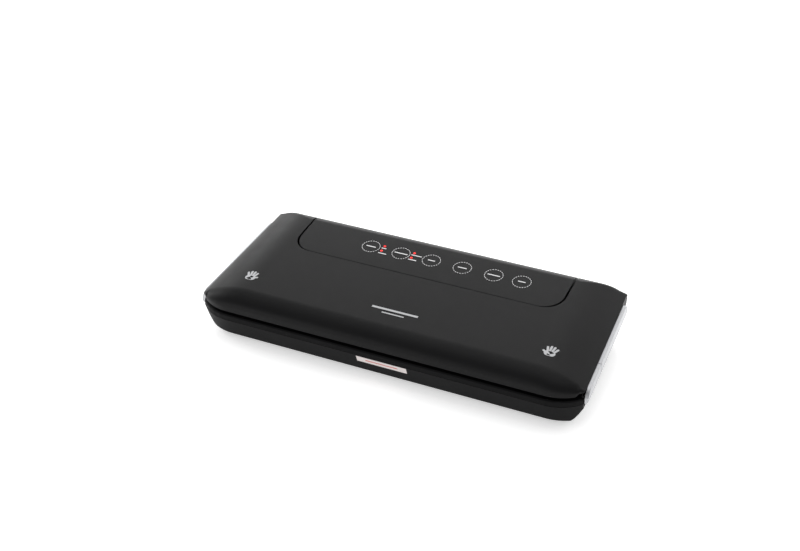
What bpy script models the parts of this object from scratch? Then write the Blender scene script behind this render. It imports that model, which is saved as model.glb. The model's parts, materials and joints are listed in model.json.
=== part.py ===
"""Countertop vacuum sealer: a wedge-shaped body with a U-shaped lid around a fixed control housing.

Lengths are in metres, +Z is up, +X runs along the machine and -Y is the front.
Profiles are drawn as (along, up) points. `along` is measured backwards from the lid's hinge axis.
Three frames stand on that axis: the body frame is level and starts at the table, the deck frame
tilts with the sealing deck, and the lid frame tilts with the lid at rest.
"""
import bmesh
import bpy
from math import asin, atan2, cos, pi, radians, sin, sqrt, tan
from mathutils import Matrix, Vector

mm = 0.001

# Overall size
WIDTH = 381 * mm
DEPTH = 157 * mm
FRONT_HEIGHT = 33.108 * mm
BODY_FLOOR = 4 * mm
FOOT_HEIGHT = 3.7 * mm
SIDE_TAPER = 0.21
CLEARANCE = 0.3 * mm
WALL = 2.6 * mm

# Lid
LID_TILT = radians(5.88)
LID_BELOW_AXIS = 1.6 * mm
DRUM_RADIUS = 15 * mm
DRUM_CLEARANCE = 0.6 * mm
CORNER_RADIUS = 46 * mm
CORNER_RUN = 32.5 * mm
CROWN_RUN = 46.5 * mm
CROWN_DROP = 12.8 * mm
CROWN_POWER = 2.4
FRONT_ROUND = 20 * mm
EDGE_LIFT = 2.7 * mm
EDGE_RUN = 6.5 * mm
EDGE_RAMP = 2.5 * mm
EDGE_ROUND = 6 * mm

# Body
REST_GAP = 3.7185 * mm
DECK_DROP = 2.2 * mm
DECK_PLATE = 2.5 * mm
SKIRT = 5.5 * mm
FRONT_SLOPE = tan(radians(21))
SIDE_WALL = 5.5 * mm
SIDE_RUN = 10 * mm
SIDE_RISE = 14 * mm
SIDE_RISE_SLOPE = 0.103

# Control housing
PANEL_INSET = 54 * mm
PANEL_REACH = 50.5 * mm
PANEL_CORNER = 20 * mm
PANEL_WALL = 2.2 * mm
PANEL_SIDE_GAP = 2 * mm
PANEL_FRONT_GAP = 0.4 * mm

# Hinge pins
PIN_RADIUS = 3 * mm
PIN_LENGTH = 20 * mm
PIN_HEAD_RADIUS = 4.5 * mm
PIN_BOSS_RADIUS = 6.5 * mm
PIN_BOSS_LENGTH = 13 * mm

# Sealing deck: the heater is measured back from the front lip, the chambers ahead of the hinge axis
HEATER_AT = 18 * mm
HEATER_INSET = 38.5 * mm
HEATER_BAR = 10 * mm
HEATER_STRIP = 5 * mm
CHAMBER_AHEAD = 86 * mm
CHAMBER_INSET = 44.5 * mm
CHAMBER_DEPTH = 11 * mm
CHAMBER_SPAN = 32 * mm
GASKET_WIDTH = 5 * mm
GASKET_BED = 3 * mm
GASKET_RISE = 0.8 * mm
CHAMBER_RIM = 12 * mm
TRAY_FLOOR = 2 * mm
TRAY_FLANGE = 2 * mm
FLANGE_THICKNESS = 1.2 * mm

# Side strips and release buttons
STRIP_START = 15 * mm
STRIP_PAST_HINGE = 5 * mm
STRIP_SPLIT = 55 * mm
STRIP_SEAM = 0.6 * mm
STRIP_HEIGHT = 18 * mm
STRIP_THICKNESS = 3.2 * mm
STRIP_DROP = 0.6 * mm
STRIP_END_ROUND = 9 * mm
RELEASE_TRAVEL = 2.5 * mm

# Latches
LATCH_AT = 34.3 * mm
HOOK_INSET = 21 * mm
HOOK_SHANK = 3 * mm
HOOK_DEPTH = 10 * mm
HOOK_BARB = 2 * mm
HOOK_DROP = 14 * mm
BARB_HEIGHT = 1.2 * mm
SLIDER_PLATE = 1.6 * mm
SLIDER_LEG = 11 * mm
SPRING_RADIUS = 2.4 * mm
SPRING_WIRE_RADIUS = 0.25 * mm
SPRING_TURNS = 4
SPRING_LENGTH = 6 * mm
SPRING_POST = 3.5 * mm
SLIDER_GAP = 0.7 * mm
SLIDER_WIDTH = 10 * mm
CATCH_WINDOW = 7 * mm

# Lid switch, with its plunger through the deck
SWITCH_INSET = 24.5 * mm
SWITCH_AT = 78 * mm
PLUNGER_RADIUS = 2 * mm
PLUNGER_RISE = 1.4 * mm
PLUNGER_TRAVEL = 1.2 * mm

# Pump set, power supply and boards
MOTOR_RADIUS = 13.5 * mm
MOTOR_LENGTH = 38 * mm
PUMP_X = -79 * mm
PUMP_ALONG = -20 * mm
PUMP_FLOOR_GAP = 0.4 * mm
HEAD_SIZE = (26 * mm, 36 * mm, 34 * mm)
CRANK_RADIUS = 9 * mm
CRANK_THROW = 4 * mm
HOSE_RADIUS = 2.6 * mm
NOZZLE_RADIUS = 3 * mm
NOZZLE_BORE = 1.6 * mm
NOZZLE_BACK = 7 * mm
NOZZLE_SIDE = 14 * mm
NOZZLE_TAIL = 9 * mm
TRANSFORMER_X = 78 * mm
CORE_SIZE = (54 * mm, 20 * mm, 40 * mm)
COIL_HALF = 13 * mm
BOARD_THICKNESS = 1.6 * mm

# Indicators: distance from the centre line and ahead of the hinge axis
INDICATOR_RADIUS = 1.2 * mm
INDICATOR_COLUMNS = (-51.6 * mm, -19.9 * mm)
INDICATOR_ROWS = (16.2 * mm, 23.8 * mm)

# Feet, screws and cord inlet
FOOT_RADIUS = 8 * mm
FOOT_INSET = 40.5 * mm
FOOT_FROM_FRONT = 24 * mm
FOOT_AT_BACK = -8 * mm
SCREW_INSET = 64.5 * mm
SCREW_RADIUS = 1.8 * mm
SCREW_HEAD_RADIUS = 3.4 * mm
SCREW_HEAD = 1.8 * mm
SCREW_LENGTH = 12 * mm
BOSS_RADIUS = 4.5 * mm
BOSS_HEIGHT = 13 * mm
INLET_INSET = 40.5 * mm
INLET_HEIGHT = 18 * mm
INLET_RADIUS = 5 * mm

# Worked out from the sizes above
HALF = WIDTH / 2
BODY_HALF = HALF - 0.5 * mm
CORNER_START = HALF - CORNER_RUN
CROWN_START = HALF - CROWN_RUN
EDGE_START = HALF - EDGE_RUN
EDGE_FULL = EDGE_START + EDGE_RAMP
SIDE_START = BODY_HALF - SIDE_RUN
PANEL_HALF = HALF - PANEL_INSET
HINGE_Y = DEPTH / 2 - DRUM_RADIUS
REACH = DEPTH - DRUM_RADIUS
UNLATCHED_ANGLE = atan2(REST_GAP, REACH)
DECK_TILT = LID_TILT + UNLATCHED_ANGLE
HINGE_HEIGHT = FRONT_HEIGHT + REACH * tan(DECK_TILT)
TOP = DRUM_RADIUS
SPLIT = -LID_BELOW_AXIS
LID_THICKNESS = DRUM_RADIUS + LID_BELOW_AXIS
LID_FRONT = -REACH / cos(LID_TILT)
COVE_RADIUS = DRUM_RADIUS + DRUM_CLEARANCE
COVE_WALL = 2.2 * mm
HATCH_HALF = PANEL_HALF + PANEL_SIDE_GAP
COVE_INNER = HATCH_HALF - 4.5 * mm
CHAMBER_HALF = HALF - CHAMBER_INSET
TRAY_HALF = CHAMBER_HALF + CHAMBER_RIM
TRAY_REACH = CHAMBER_SPAN / 2 + CHAMBER_RIM - 2 * mm
HEATER_HALF = HALF - HEATER_INSET
HOOK_AT = HALF - HOOK_INSET
SLIDER_INNER = TRAY_HALF + RELEASE_TRAVEL + SLIDER_GAP
SPRING_FOOT = SLIDER_INNER - SPRING_LENGTH - CLEARANCE
STRIP_END = REACH + STRIP_PAST_HINGE
SWITCH_X = HALF - SWITCH_INSET
SWITCH_ALONG = SWITCH_AT - REACH
PUMP_HEIGHT = BODY_FLOOR + WALL + PUMP_FLOOR_GAP + HEAD_SIZE[2] / 2
NOZZLE_X = PUMP_X + NOZZLE_SIDE
NOZZLE_ALONG = NOZZLE_BACK - CHAMBER_AHEAD
FOOT_AT_X = HALF - FOOT_INSET
FOOT_AT_FRONT = FOOT_FROM_FRONT - REACH
SCREW_AT_X = HALF - SCREW_INSET
INLET_X = HALF - INLET_INSET
LATCH_ALONG = LATCH_AT - REACH
HOOK_ALONG = LATCH_ALONG / cos(LID_TILT) - 1.5 * mm
HOOK_TIP = HINGE_HEIGHT + (HOOK_ALONG - HOOK_DEPTH / 2) * sin(LID_TILT) - HOOK_DROP * cos(LID_TILT)
CATCH_TOP = HOOK_TIP - 0.4 * mm


# Frames, materials and objects

def clear_scene():
    for item in list(bpy.data.objects):
        bpy.data.objects.remove(item, do_unlink=True)


def make_frame(name, height, tilt):
    """An empty on the hinge line that the pieces of one frame hang from."""
    frame = bpy.data.objects.new(name, None)
    frame.location = (0, HINGE_Y, height)
    frame.rotation_euler = (tilt, 0, 0)
    bpy.context.collection.objects.link(frame)
    return frame


def make_material(name, grey, roughness=0.5, metallic=0.0):
    material = bpy.data.materials.new(name)
    material.use_nodes = True
    shader = material.node_tree.nodes["Principled BSDF"]
    tone = grey if isinstance(grey, tuple) else (grey, grey, grey)
    shader.inputs["Base Color"].default_value = (*tone, 1)
    shader.inputs["Roughness"].default_value = roughness
    shader.inputs["Metallic"].default_value = metallic
    return material


def add_object(name, shape, frame, material=None):
    """Turn a bmesh into an object on a frame, with its faces pointing out."""
    bmesh.ops.recalc_face_normals(shape, faces=shape.faces)
    mesh = bpy.data.meshes.new(name)
    shape.to_mesh(mesh)
    shape.free()
    item = bpy.data.objects.new(name, mesh)
    item.parent = frame
    bpy.context.collection.objects.link(item)
    if material:
        mesh.materials.append(material)
        mesh.shade_smooth()
        mesh.set_sharp_from_angle(angle=radians(35))
    return item


def combine(target, shape, frame, operation, label):
    """Cut a shape from a target, or join it on, with a hidden guide object."""
    guide = add_object(target.name + "_" + label, shape, frame)
    guide.hide_render = True
    guide.display_type = "WIRE"
    change = target.modifiers.new(label, "BOOLEAN")
    change.object = guide
    change.operation = operation
    change.solver = "EXACT"
    return guide


def cut(target, shape, frame, label):
    return combine(target, shape, frame, "DIFFERENCE", label)


def join(target, shape, frame, label):
    return combine(target, shape, frame, "UNION", label)


# Shapes

def narrow(x, along):
    """Bring a side-to-side place inwards towards the back, where the machine is narrower."""
    return x * (1 - SIDE_TAPER * (along + REACH))


def add_rings(shape, rings):
    loops = [[shape.verts.new(point) for point in ring] for ring in rings]
    count = len(loops[0])
    for first, second in zip(loops, loops[1:]):
        for i in range(count):
            j = (i + 1) % count
            shape.faces.new((first[i], first[j], second[j], second[i]))
    shape.faces.new(loops[0])
    shape.faces.new(loops[-1])
    return shape


def loft(stations, profile, tapered=True, shape=None):
    """Skin the profiles of a row of side-to-side stations."""
    rings = []
    for x in stations:
        rings.append([(narrow(x, u) if tapered else x, u, w) for u, w in profile(x)])
    return add_rings(shape or bmesh.new(), rings)


def prism(outline, left, right, shape=None):
    return add_rings(shape or bmesh.new(), [[(x, u, w) for u, w in outline] for x in (left, right)])


def box(xs, us, ws, shape=None):
    outline = [(us[0], ws[0]), (us[1], ws[0]), (us[1], ws[1]), (us[0], ws[1])]
    return prism(outline, xs[0], xs[1], shape)


def rod(direction, centre, radii, places, sides=20, shape=None):
    """A turned piece along X, Y or Z: one radius at each place along its axis."""
    rings = []
    for radius, place in zip(radii, places):
        ring = []
        for i in range(sides):
            a = radius * cos(2 * pi * i / sides)
            b = radius * sin(2 * pi * i / sides)
            point = {
                "X": (place, centre[0] + a, centre[1] + b),
                "Y": (centre[0] + a, place, centre[1] + b),
                "Z": (centre[0] + a, centre[1] + b, place),
            }[direction]
            ring.append(point)
        rings.append(ring)
    return add_rings(shape or bmesh.new(), rings)


def frame_bar(half_x, mid_u, half_u, width, low, high, corner=4 * mm):
    """A rectangular ring with rounded corners, such as a gasket."""
    shape = bmesh.new()
    loops = []
    for grow, level in ((0, low), (width, low), (width, high), (0, high)):
        loop = []
        for turn in range(4):
            centre_x = (half_x - corner) * (1 if turn in (0, 3) else -1)
            centre_u = mid_u + (half_u - corner) * (1 if turn in (0, 1) else -1)
            for step in range(4):
                a = pi / 2 * (turn + step / 3)
                radius = corner + grow
                loop.append((centre_x + radius * cos(a), centre_u + radius * sin(a), level))
        loops.append([shape.verts.new(point) for point in loop])
    for k in range(4):
        first = loops[k]
        second = loops[(k + 1) % 4]
        for i in range(len(first)):
            j = (i + 1) % len(first)
            shape.faces.new((first[i], first[j], second[j], second[i]))
    return shape


def helix(centre_u, centre_w, start, length, turns, radius, wire):
    """A coil spring along X, closed with flat ends."""
    steps = turns * 12
    rings = []
    for i in range(steps + 1):
        a = 2 * pi * i / 12
        middle = Vector((start + length * i / steps, centre_u + radius * cos(a), centre_w + radius * sin(a)))
        outwards = Vector((0, cos(a), sin(a)))
        ring = []
        for k in range(5):
            b = 2 * pi * k / 5
            ring.append(middle + wire * (cos(b) * outwards + sin(b) * Vector((1, 0, 0))))
        rings.append(ring)
    return add_rings(bmesh.new(), rings)


def spread(limit, *marks):
    """Stations from side to side: each mark on both sides of the middle."""
    places = sorted({round(mark, 6) for mark in (*marks, limit)})
    return [-place for place in reversed(places)] + places


# Outlines that several pieces share

def corner_setback(x):
    """How far the front edge has curved back at a place along the machine."""
    over = abs(x) - CORNER_START
    return CORNER_RADIUS - sqrt(CORNER_RADIUS ** 2 - over ** 2) if over > 0 else 0.0


def crown_drop(x):
    over = (abs(x) - CROWN_START) / (HALF - CROWN_START)
    return CROWN_DROP * over ** CROWN_POWER if over > 0 else 0.0


def drum_arc(radius, height, first, last, steps=12):
    """The round back of the lid: a small fillet from the top surface, then the drum itself."""
    fillet = min(EDGE_ROUND, 0.9 * height)
    centre_w = height - fillet
    centre_u = sqrt(max((radius - fillet) ** 2 - centre_w ** 2, 0.0))
    turn = atan2(centre_w, centre_u)
    points = []
    for i in range(3):
        a = pi / 2 + (turn - pi / 2) * i / 2
        points.append((centre_u + fillet * cos(a), centre_w + fillet * sin(a)))
    start = min(turn, first)
    for i in range(1, steps + 1):
        a = start + (last - start) * i / steps
        points.append((radius * cos(a), radius * sin(a)))
    return points


def lid_profile(x, inset=0.0, base=SPLIT):
    """Side view of the lid: front face, round front edge, top, drum and underside."""
    top = TOP - crown_drop(x) - inset
    rise = top - base
    front = LID_FRONT + corner_setback(x) + inset
    lean = tan(LID_TILT)
    face = base + 0.2 * rise
    sweep = FRONT_ROUND * rise / LID_THICKNESS
    points = [(front + base * lean, base)]
    for i in range(6):
        a = pi / 2 * i / 5
        points.append((front + face * lean + sweep * (1 - cos(a)), face + (top - face) * sin(a)))
    return points, top


def lid_outer(x):
    lift = EDGE_LIFT * min(max(0.0, (abs(x) - EDGE_START) / (EDGE_FULL - EDGE_START)), 1.0)
    base = SPLIT + lift
    points, top = lid_profile(x, 0.0, base)
    seat = pi - asin(base / DRUM_RADIUS)
    return points + drum_arc(DRUM_RADIUS, top, pi / 2, seat - 2 * pi)


def lid_inner(x):
    points, top = lid_profile(x, WALL, SPLIT)
    points[0] = (points[0][0], SPLIT - 4 * mm)
    radius = DRUM_RADIUS - WALL
    shelf = SPLIT + 0.6 * mm
    arc = drum_arc(radius, min(top, radius), pi / 2, -pi)
    tail = [(-DRUM_RADIUS - CLEARANCE, shelf), (-DRUM_RADIUS - CLEARANCE, SPLIT - 4 * mm)]
    return points + arc + tail


def housing_setback(x, corner=PANEL_CORNER, half=PANEL_HALF):
    over = abs(x) - (half - corner)
    return corner - sqrt(max(corner ** 2 - over ** 2, 0.0)) if over > 0 else 0.0


def housing_front(reach, low, high, steps=4):
    """The front wall follows an arc about the hinge, so the lid swings past it."""
    points = []
    for i in range(steps + 1):
        w = low + (high - low) * i / steps
        points.append((-sqrt(reach ** 2 - w ** 2), w))
    return points


def housing_stations(half=PANEL_HALF, corner=PANEL_CORNER):
    turns = [half - corner + corner * sin(pi / 2 * i / 5) for i in range(6)]
    return spread(half, *turns)


def deck_level(along):
    """Height of the deck surface above the table in the body frame."""
    return HINGE_HEIGHT + tan(DECK_TILT) * along - DECK_DROP / cos(DECK_TILT)


def deck_in_lid(along):
    """Height of the deck surface in the lid frame."""
    return tan(UNLATCHED_ANGLE) * along - DECK_DROP


def underside(x, along):
    """Height of the body's underside, which rises near the side walls."""
    over = (abs(x) - SIDE_START) / (BODY_HALF - SIDE_START)
    rise = max(0.0, over) ** 1.3
    return BODY_FLOOR + rise * (SIDE_RISE + SIDE_RISE_SLOPE * (along + REACH))


def body_stations(limit):
    marks = [CORNER_START, SIDE_START, *[BODY_HALF - run * mm for run in (24, 16, 5)]]
    return spread(limit, *[mark for mark in marks if mark < limit])


# Body

def body_outer(x):
    front = corner_setback(x) - REACH
    rim = deck_level(front) - SKIRT - CLEARANCE
    low = underside(x, front)
    run = (rim - low - 3 * mm) * FRONT_SLOPE
    back = DRUM_RADIUS
    floor_back = underside(x, back)
    return [
        (front, rim),
        (front + run, low + 3 * mm),
        (front + run + 1.3 * mm, low + 1 * mm),
        (front + run + 3.5 * mm, low),
        (back - 5 * mm, floor_back),
        (back - 2 * mm, floor_back + 1 * mm),
        (back - 1.2 * mm, floor_back + 4 * mm),
        (back, deck_level(back) - SKIRT - CLEARANCE),
    ]


def body_inner(x):
    front = corner_setback(x) - REACH
    rim = deck_level(front) - SKIRT
    low = underside(x, front) + WALL
    if abs(x) > SIDE_START:
        low += 1.5 * mm
    run = max(rim - low - 1 * mm, 0) * FRONT_SLOPE
    back = DRUM_RADIUS - WALL
    return [
        (front + WALL, rim + 8 * mm),
        (front + WALL + 0.2 * mm, rim),
        (front + WALL + 0.4 * mm + run, low + 1 * mm),
        (front + WALL + 2.4 * mm + run, low),
        (back - 2.5 * mm, underside(x, back) + WALL),
        (back, deck_level(back) + 8 * mm),
    ]


def cove_cutter(radius, inner=HATCH_HALF - CLEARANCE):
    """Clears the lid's drums on both sides."""
    shape = bmesh.new()
    for side in (-1, 1):
        ends = sorted((side * inner, side * (HALF + 5 * mm)))
        rod("X", (0, HINGE_HEIGHT), (radius, radius), ends, 32, shape)
    return shape


def strip_level(along):
    """Top edge of the side strips in the body frame, just under the lid's side edge."""
    edge = SPLIT + EDGE_LIFT
    return HINGE_HEIGHT + (edge + sin(LID_TILT) * along) / cos(LID_TILT) - STRIP_DROP


def strip_shape(side, start, end, inner, outer, grow=0.0, round_start=True, round_end=True):
    """A band along the side wall with pill-shaped ends and a tucked-in lower edge."""
    first = STRIP_START - REACH
    last = STRIP_END - REACH
    places = [start, end]
    places += [first + STRIP_END_ROUND * (1 - cos(pi / 8 * i)) for i in range(1, 5)] if round_start else []
    places += [last - STRIP_END_ROUND * (1 - cos(pi / 8 * i)) for i in range(1, 5)] if round_end else []
    rings = []
    for u in sorted(places):
        gap = max(0.0, STRIP_END_ROUND - min(u - first, last - u)) / STRIP_END_ROUND
        share = sqrt(max(1 - gap ** 2, 0.0)) if gap else 1.0
        share = max(share, 0.3)
        middle = strip_level(u) - STRIP_HEIGHT / 2
        half = STRIP_HEIGHT / 2 * share + grow
        x0 = narrow(HALF, u) + inner
        x1 = narrow(HALF, u) + outer
        tuck = min(2.2 * mm, (x1 - x0) * 0.7)
        section = [
            (x0, middle - half),
            (x1 - tuck, middle - half),
            (x1 - 0.2 * mm, middle - half * 0.36),
            (x1, middle - half * 0.28),
            (x1 - 0.2 * mm, middle + half - 0.8 * mm),
            (x1 - 1 * mm, middle + half),
            (x0, middle + half),
        ]
        rings.append([(side * x, u, w) for x, w in section])
    return add_rings(bmesh.new(), rings)


def release_pocket(side):
    """Room in the side wall for the release button to be pushed in."""
    inner = -RELEASE_TRAVEL - CLEARANCE * 2
    end = STRIP_SPLIT - REACH + CLEARANCE
    return strip_shape(side, STRIP_START - REACH - CLEARANCE, end, inner, 8 * mm, 0.6 * mm, True, False)


def sides():
    return (("left", -1), ("right", 1))


def foot_places():
    return [(x, u) for x in (-FOOT_AT_X, FOOT_AT_X) for u in (FOOT_AT_FRONT, FOOT_AT_BACK)]


def screw_places():
    return [(x, u) for x in (-SCREW_AT_X, SCREW_AT_X) for u in (FOOT_AT_FRONT, FOOT_AT_BACK)]


def screw_seat():
    return BODY_FLOOR + SCREW_HEAD + CLEARANCE * 2


def make_base_shell(frame, material):
    shell = add_object("base_shell", loft(body_stations(BODY_HALF), body_outer), frame, material)
    hollow = loft(body_stations(BODY_HALF - SIDE_WALL), body_inner)
    cut(shell, hollow, frame, "hollow")
    bosses = bmesh.new()
    for x, u in screw_places():
        rod("Z", (x, u), (BOSS_RADIUS, BOSS_RADIUS), (BODY_FLOOR + 1 * mm, BODY_FLOOR + BOSS_HEIGHT), 16,
            bosses)
    for name, side in sides():
        post = SPRING_FOOT - CLEARANCE
        xs = sorted((side * (post - SPRING_POST), side * post))
        us = (LATCH_ALONG - SLIDER_WIDTH / 2, LATCH_ALONG + SLIDER_WIDTH / 2)
        box(xs, us, (BODY_FLOOR + 1 * mm, CATCH_TOP - SLIDER_LEG + 3 * mm + SPRING_RADIUS), bosses)
    join(shell, bosses, frame, "bosses")
    holes = bmesh.new()
    for x, u in screw_places():
        radii = [SCREW_HEAD_RADIUS + CLEARANCE] * 2 + [SCREW_RADIUS + CLEARANCE] * 2
        seat = screw_seat()
        places = (BODY_FLOOR - 2 * mm, seat, seat, BODY_FLOOR + BOSS_HEIGHT + 2 * mm)
        rod("Z", (x, u), radii, places, 16, holes)
    rod("Y", (INLET_X, INLET_HEIGHT), [INLET_RADIUS + CLEARANCE] * 2,
        (DRUM_RADIUS - 8 * mm, DRUM_RADIUS + 3 * mm), 20, holes)
    for name, side in sides():
        xs = sorted((side * (HALF - 12.5 * mm), side * (HALF + 4.5 * mm)))
        room = SLIDER_WIDTH / 2 + 0.5 * mm
        us = (LATCH_ALONG - room, LATCH_ALONG + room)
        box(xs, us, (CATCH_TOP - SLIDER_PLATE - 0.5 * mm, CATCH_TOP + 0.5 * mm), holes)
    cut(shell, holes, frame, "holes")
    cut(shell, cove_cutter(COVE_RADIUS + COVE_WALL + CLEARANCE, COVE_INNER - CLEARANCE * 2), frame, "coves")
    for name, side in sides():
        cut(shell, release_pocket(side), frame, "pocket_" + name)
    return shell


def deck_outer(x):
    front = corner_setback(x) - REACH
    back = DRUM_RADIUS
    return [
        (front, deck_level(front) - SKIRT),
        (front, deck_level(front) - 1 * mm),
        (front + 1 * mm, deck_level(front + 1 * mm)),
        (back, deck_level(back)),
        (back, deck_level(back) - SKIRT),
    ]


def deck_inner(x):
    front = corner_setback(x) - REACH + WALL
    back = DRUM_RADIUS - WALL
    return [
        (front, deck_level(front) - SKIRT - 4 * mm),
        (front, deck_level(front) - DECK_PLATE),
        (back, deck_level(back) - DECK_PLATE),
        (back, deck_level(back) - SKIRT - 4 * mm),
    ]


def cove_shell():
    """Curved walls that carry the deck down around the drums."""
    shape = bmesh.new()
    outer = COVE_RADIUS + COVE_WALL
    first = radians(190) + DECK_TILT
    angles = [first + (radians(322) - first) * i / 12 for i in range(13)]
    outline = [(outer * cos(a), HINGE_HEIGHT + outer * sin(a)) for a in angles]
    outline += [((COVE_RADIUS - 1 * mm) * cos(a),
                 HINGE_HEIGHT + (COVE_RADIUS - 1 * mm) * sin(a)) for a in reversed(angles)]
    end = narrow(BODY_HALF, DRUM_RADIUS) - 0.4 * mm
    for side in (-1, 1):
        prism(outline, *sorted((side * (COVE_INNER + CLEARANCE), side * end)), shape)
    return shape


def make_deck(frame, tilted, material):
    """The sealing deck with its heater slot, the seat of the drip tray and the coves."""
    surface = -DECK_DROP
    heater = HEATER_AT - REACH
    deck = add_object("sealing_deck", loft(body_stations(BODY_HALF), deck_outer), frame, material)
    cut(deck, loft(body_stations(BODY_HALF - SIDE_WALL), deck_inner), frame, "underside")
    block = bmesh.new()
    rim = HEATER_BAR / 2 + 2.5 * mm
    box((-HEATER_HALF - 4 * mm, HEATER_HALF + 4 * mm), (heater - rim, heater + rim),
        (surface - 11 * mm, surface - 1 * mm), block)
    join(deck, block, tilted, "block")
    join(deck, cove_shell(), frame, "cove_walls")
    ties = bmesh.new()
    top = deck_level(DRUM_RADIUS)
    for side in (-1, 1):
        xs = sorted((side * COVE_INNER, side * (COVE_INNER + 3.5 * mm)))
        box(xs, (DRUM_RADIUS - 6 * mm, DRUM_RADIUS - 3.8 * mm), (top - 13 * mm, top - 2 * mm), ties)
    join(deck, ties, frame, "ties")
    holes = bmesh.new()
    slot = HEATER_BAR / 2 + CLEARANCE
    box((-HEATER_HALF - CLEARANCE, HEATER_HALF + CLEARANCE), (heater - slot, heater + slot),
        (surface - 9 * mm, surface + 5 * mm), holes)
    for name, side in sides():
        xs = sorted((side * (HOOK_AT - 5 * mm), side * (HOOK_AT + 3.5 * mm)))
        box(xs, (LATCH_ALONG - 9 * mm, LATCH_ALONG + 7 * mm), (surface - 9 * mm, surface + 5 * mm), holes)
    rod("Z", (SWITCH_X, SWITCH_ALONG), [PLUNGER_RADIUS + CLEARANCE] * 2,
        (surface - 9 * mm, surface + 5 * mm), 16, holes)
    cut(deck, holes, tilted, "openings")
    rebate = FLANGE_THICKNESS + CLEARANCE
    cut(deck, tray_block(TRAY_FLANGE + CLEARANCE, surface - rebate, surface + 5 * mm), tilted, "tray_rebate")
    cut(deck, tray_block(CLEARANCE, surface - SKIRT - 9 * mm, surface), tilted, "tray_opening")
    well = box((-PANEL_HALF + 5 * mm, PANEL_HALF - 5 * mm),
               (4 * mm - PANEL_REACH + 4 * mm, DRUM_RADIUS - WALL - 1.5 * mm),
               (0, HINGE_HEIGHT + 20 * mm))
    cut(deck, well, frame, "well")
    cut(deck, cove_cutter(COVE_RADIUS), frame, "coves")
    slivers = bmesh.new()
    for side in (-1, 1):
        xs = sorted((side * (HATCH_HALF - CLEARANCE), side * (HALF + 5 * mm)))
        box(xs, (DRUM_RADIUS - 10 * mm, DRUM_RADIUS + 5 * mm), (top - SKIRT - 2 * mm, top + 9 * mm), slivers)
    cut(deck, slivers, frame, "rear_gaps")
    pin_room = bmesh.new()
    for side in (-1, 1):
        ends = sorted((side * (PANEL_HALF - 8 * mm), side * (HATCH_HALF + 1 * mm)))
        rod("X", (0, HINGE_HEIGHT), [PIN_HEAD_RADIUS + 0.8 * mm] * 2, ends, 20, pin_room)
    cut(deck, pin_room, frame, "pin_room")
    for name, side in sides():
        cut(deck, release_pocket(side), frame, "pocket_" + name)
    return deck


def tray_block(grow, low, high):
    chamber = -CHAMBER_AHEAD
    xs = (-TRAY_HALF - grow, TRAY_HALF + grow)
    return box(xs, (chamber - TRAY_REACH - grow, chamber + TRAY_REACH + grow), (low, high))


def make_drip_tray(tilted, material):
    """Lift-out tray whose hollow is the vacuum chamber, hung in the deck by its flange."""
    surface = -DECK_DROP
    chamber = -CHAMBER_AHEAD
    low = surface - CHAMBER_DEPTH - TRAY_FLOOR
    tray = add_object("drip_tray", tray_block(0.0, low, surface - FLANGE_THICKNESS / 2), tilted, material)
    join(tray, tray_block(TRAY_FLANGE, surface - FLANGE_THICKNESS, surface), tilted, "flange")
    hollow = box((-CHAMBER_HALF, CHAMBER_HALF), (chamber - CHAMBER_SPAN / 2, chamber + CHAMBER_SPAN / 2),
                 (surface - CHAMBER_DEPTH, surface + 5 * mm))
    cut(tray, hollow, tilted, "chamber")
    drain = rod("Z", (NOZZLE_X, NOZZLE_ALONG), [NOZZLE_RADIUS + CLEARANCE] * 2,
                (low - 5 * mm, surface - 5 * mm), 16)
    cut(tray, drain, tilted, "nozzle_hole")
    bed = frame_bar(CHAMBER_HALF + 2.5 * mm, chamber, CHAMBER_SPAN / 2 + 2.5 * mm,
                    GASKET_WIDTH + 2 * CLEARANCE,
                    surface - GASKET_BED, surface + 3 * mm)
    cut(tray, bed, tilted, "gasket_bed")
    core = frame_bar(CHAMBER_HALF + 2 * mm, chamber, CHAMBER_SPAN / 2 + 2 * mm, CHAMBER_RIM - 6 * mm,
                     low - 3 * mm, surface - GASKET_BED - 2 * mm)
    cut(tray, core, tilted, "coring")
    return tray


def make_strips(frame, material):
    """Silver strips on both sides: the front part is the release button, the rest is trim."""
    split = STRIP_SPLIT - REACH
    for name, side in sides():
        button = strip_shape(side, STRIP_START - REACH, split - STRIP_SEAM / 2, CLEARANCE,
                             STRIP_THICKNESS + CLEARANCE,
                             0.0, True, False)
        add_object("release_button_" + name, button, frame, material)
        trim = strip_shape(side, split + STRIP_SEAM / 2, STRIP_END - REACH, CLEARANCE,
                           STRIP_THICKNESS + CLEARANCE,
                           0.0, False, True)
        add_object("side_trim_" + name, trim, frame, material)


# Control housing

def housing_outer(x):
    reach = PANEL_REACH - housing_setback(x)
    bottom = deck_in_lid(-reach) + CLEARANCE
    points = [(-reach, bottom)]
    points += housing_front(reach, 2 * mm, TOP - 1 * mm)
    points.append((points[-1][0] + 1 * mm, TOP))
    crest = pi / 2 - LID_TILT
    end = UNLATCHED_ANGLE - asin((DECK_DROP - CLEARANCE) * cos(UNLATCHED_ANGLE) / DRUM_RADIUS)
    for a in (pi / 2, *[crest + (end - crest) * i / 8 for i in range(9)]):
        points.append((DRUM_RADIUS * cos(a), DRUM_RADIUS * sin(a)))
    return points


def housing_inner(x):
    half = PANEL_HALF - PANEL_WALL
    reach = PANEL_REACH - PANEL_WALL - housing_setback(x, PANEL_CORNER - PANEL_WALL, half)
    inner = DRUM_RADIUS - PANEL_WALL
    points = [(-reach, -9 * mm)]
    points += housing_front(reach, 1 * mm, TOP - PANEL_WALL)
    for i in range(9):
        a = pi / 2 - (pi / 2 + LID_TILT) * i / 8
        points.append((inner * cos(a), inner * sin(a)))
    points.append((inner, -9 * mm))
    return points


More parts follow.
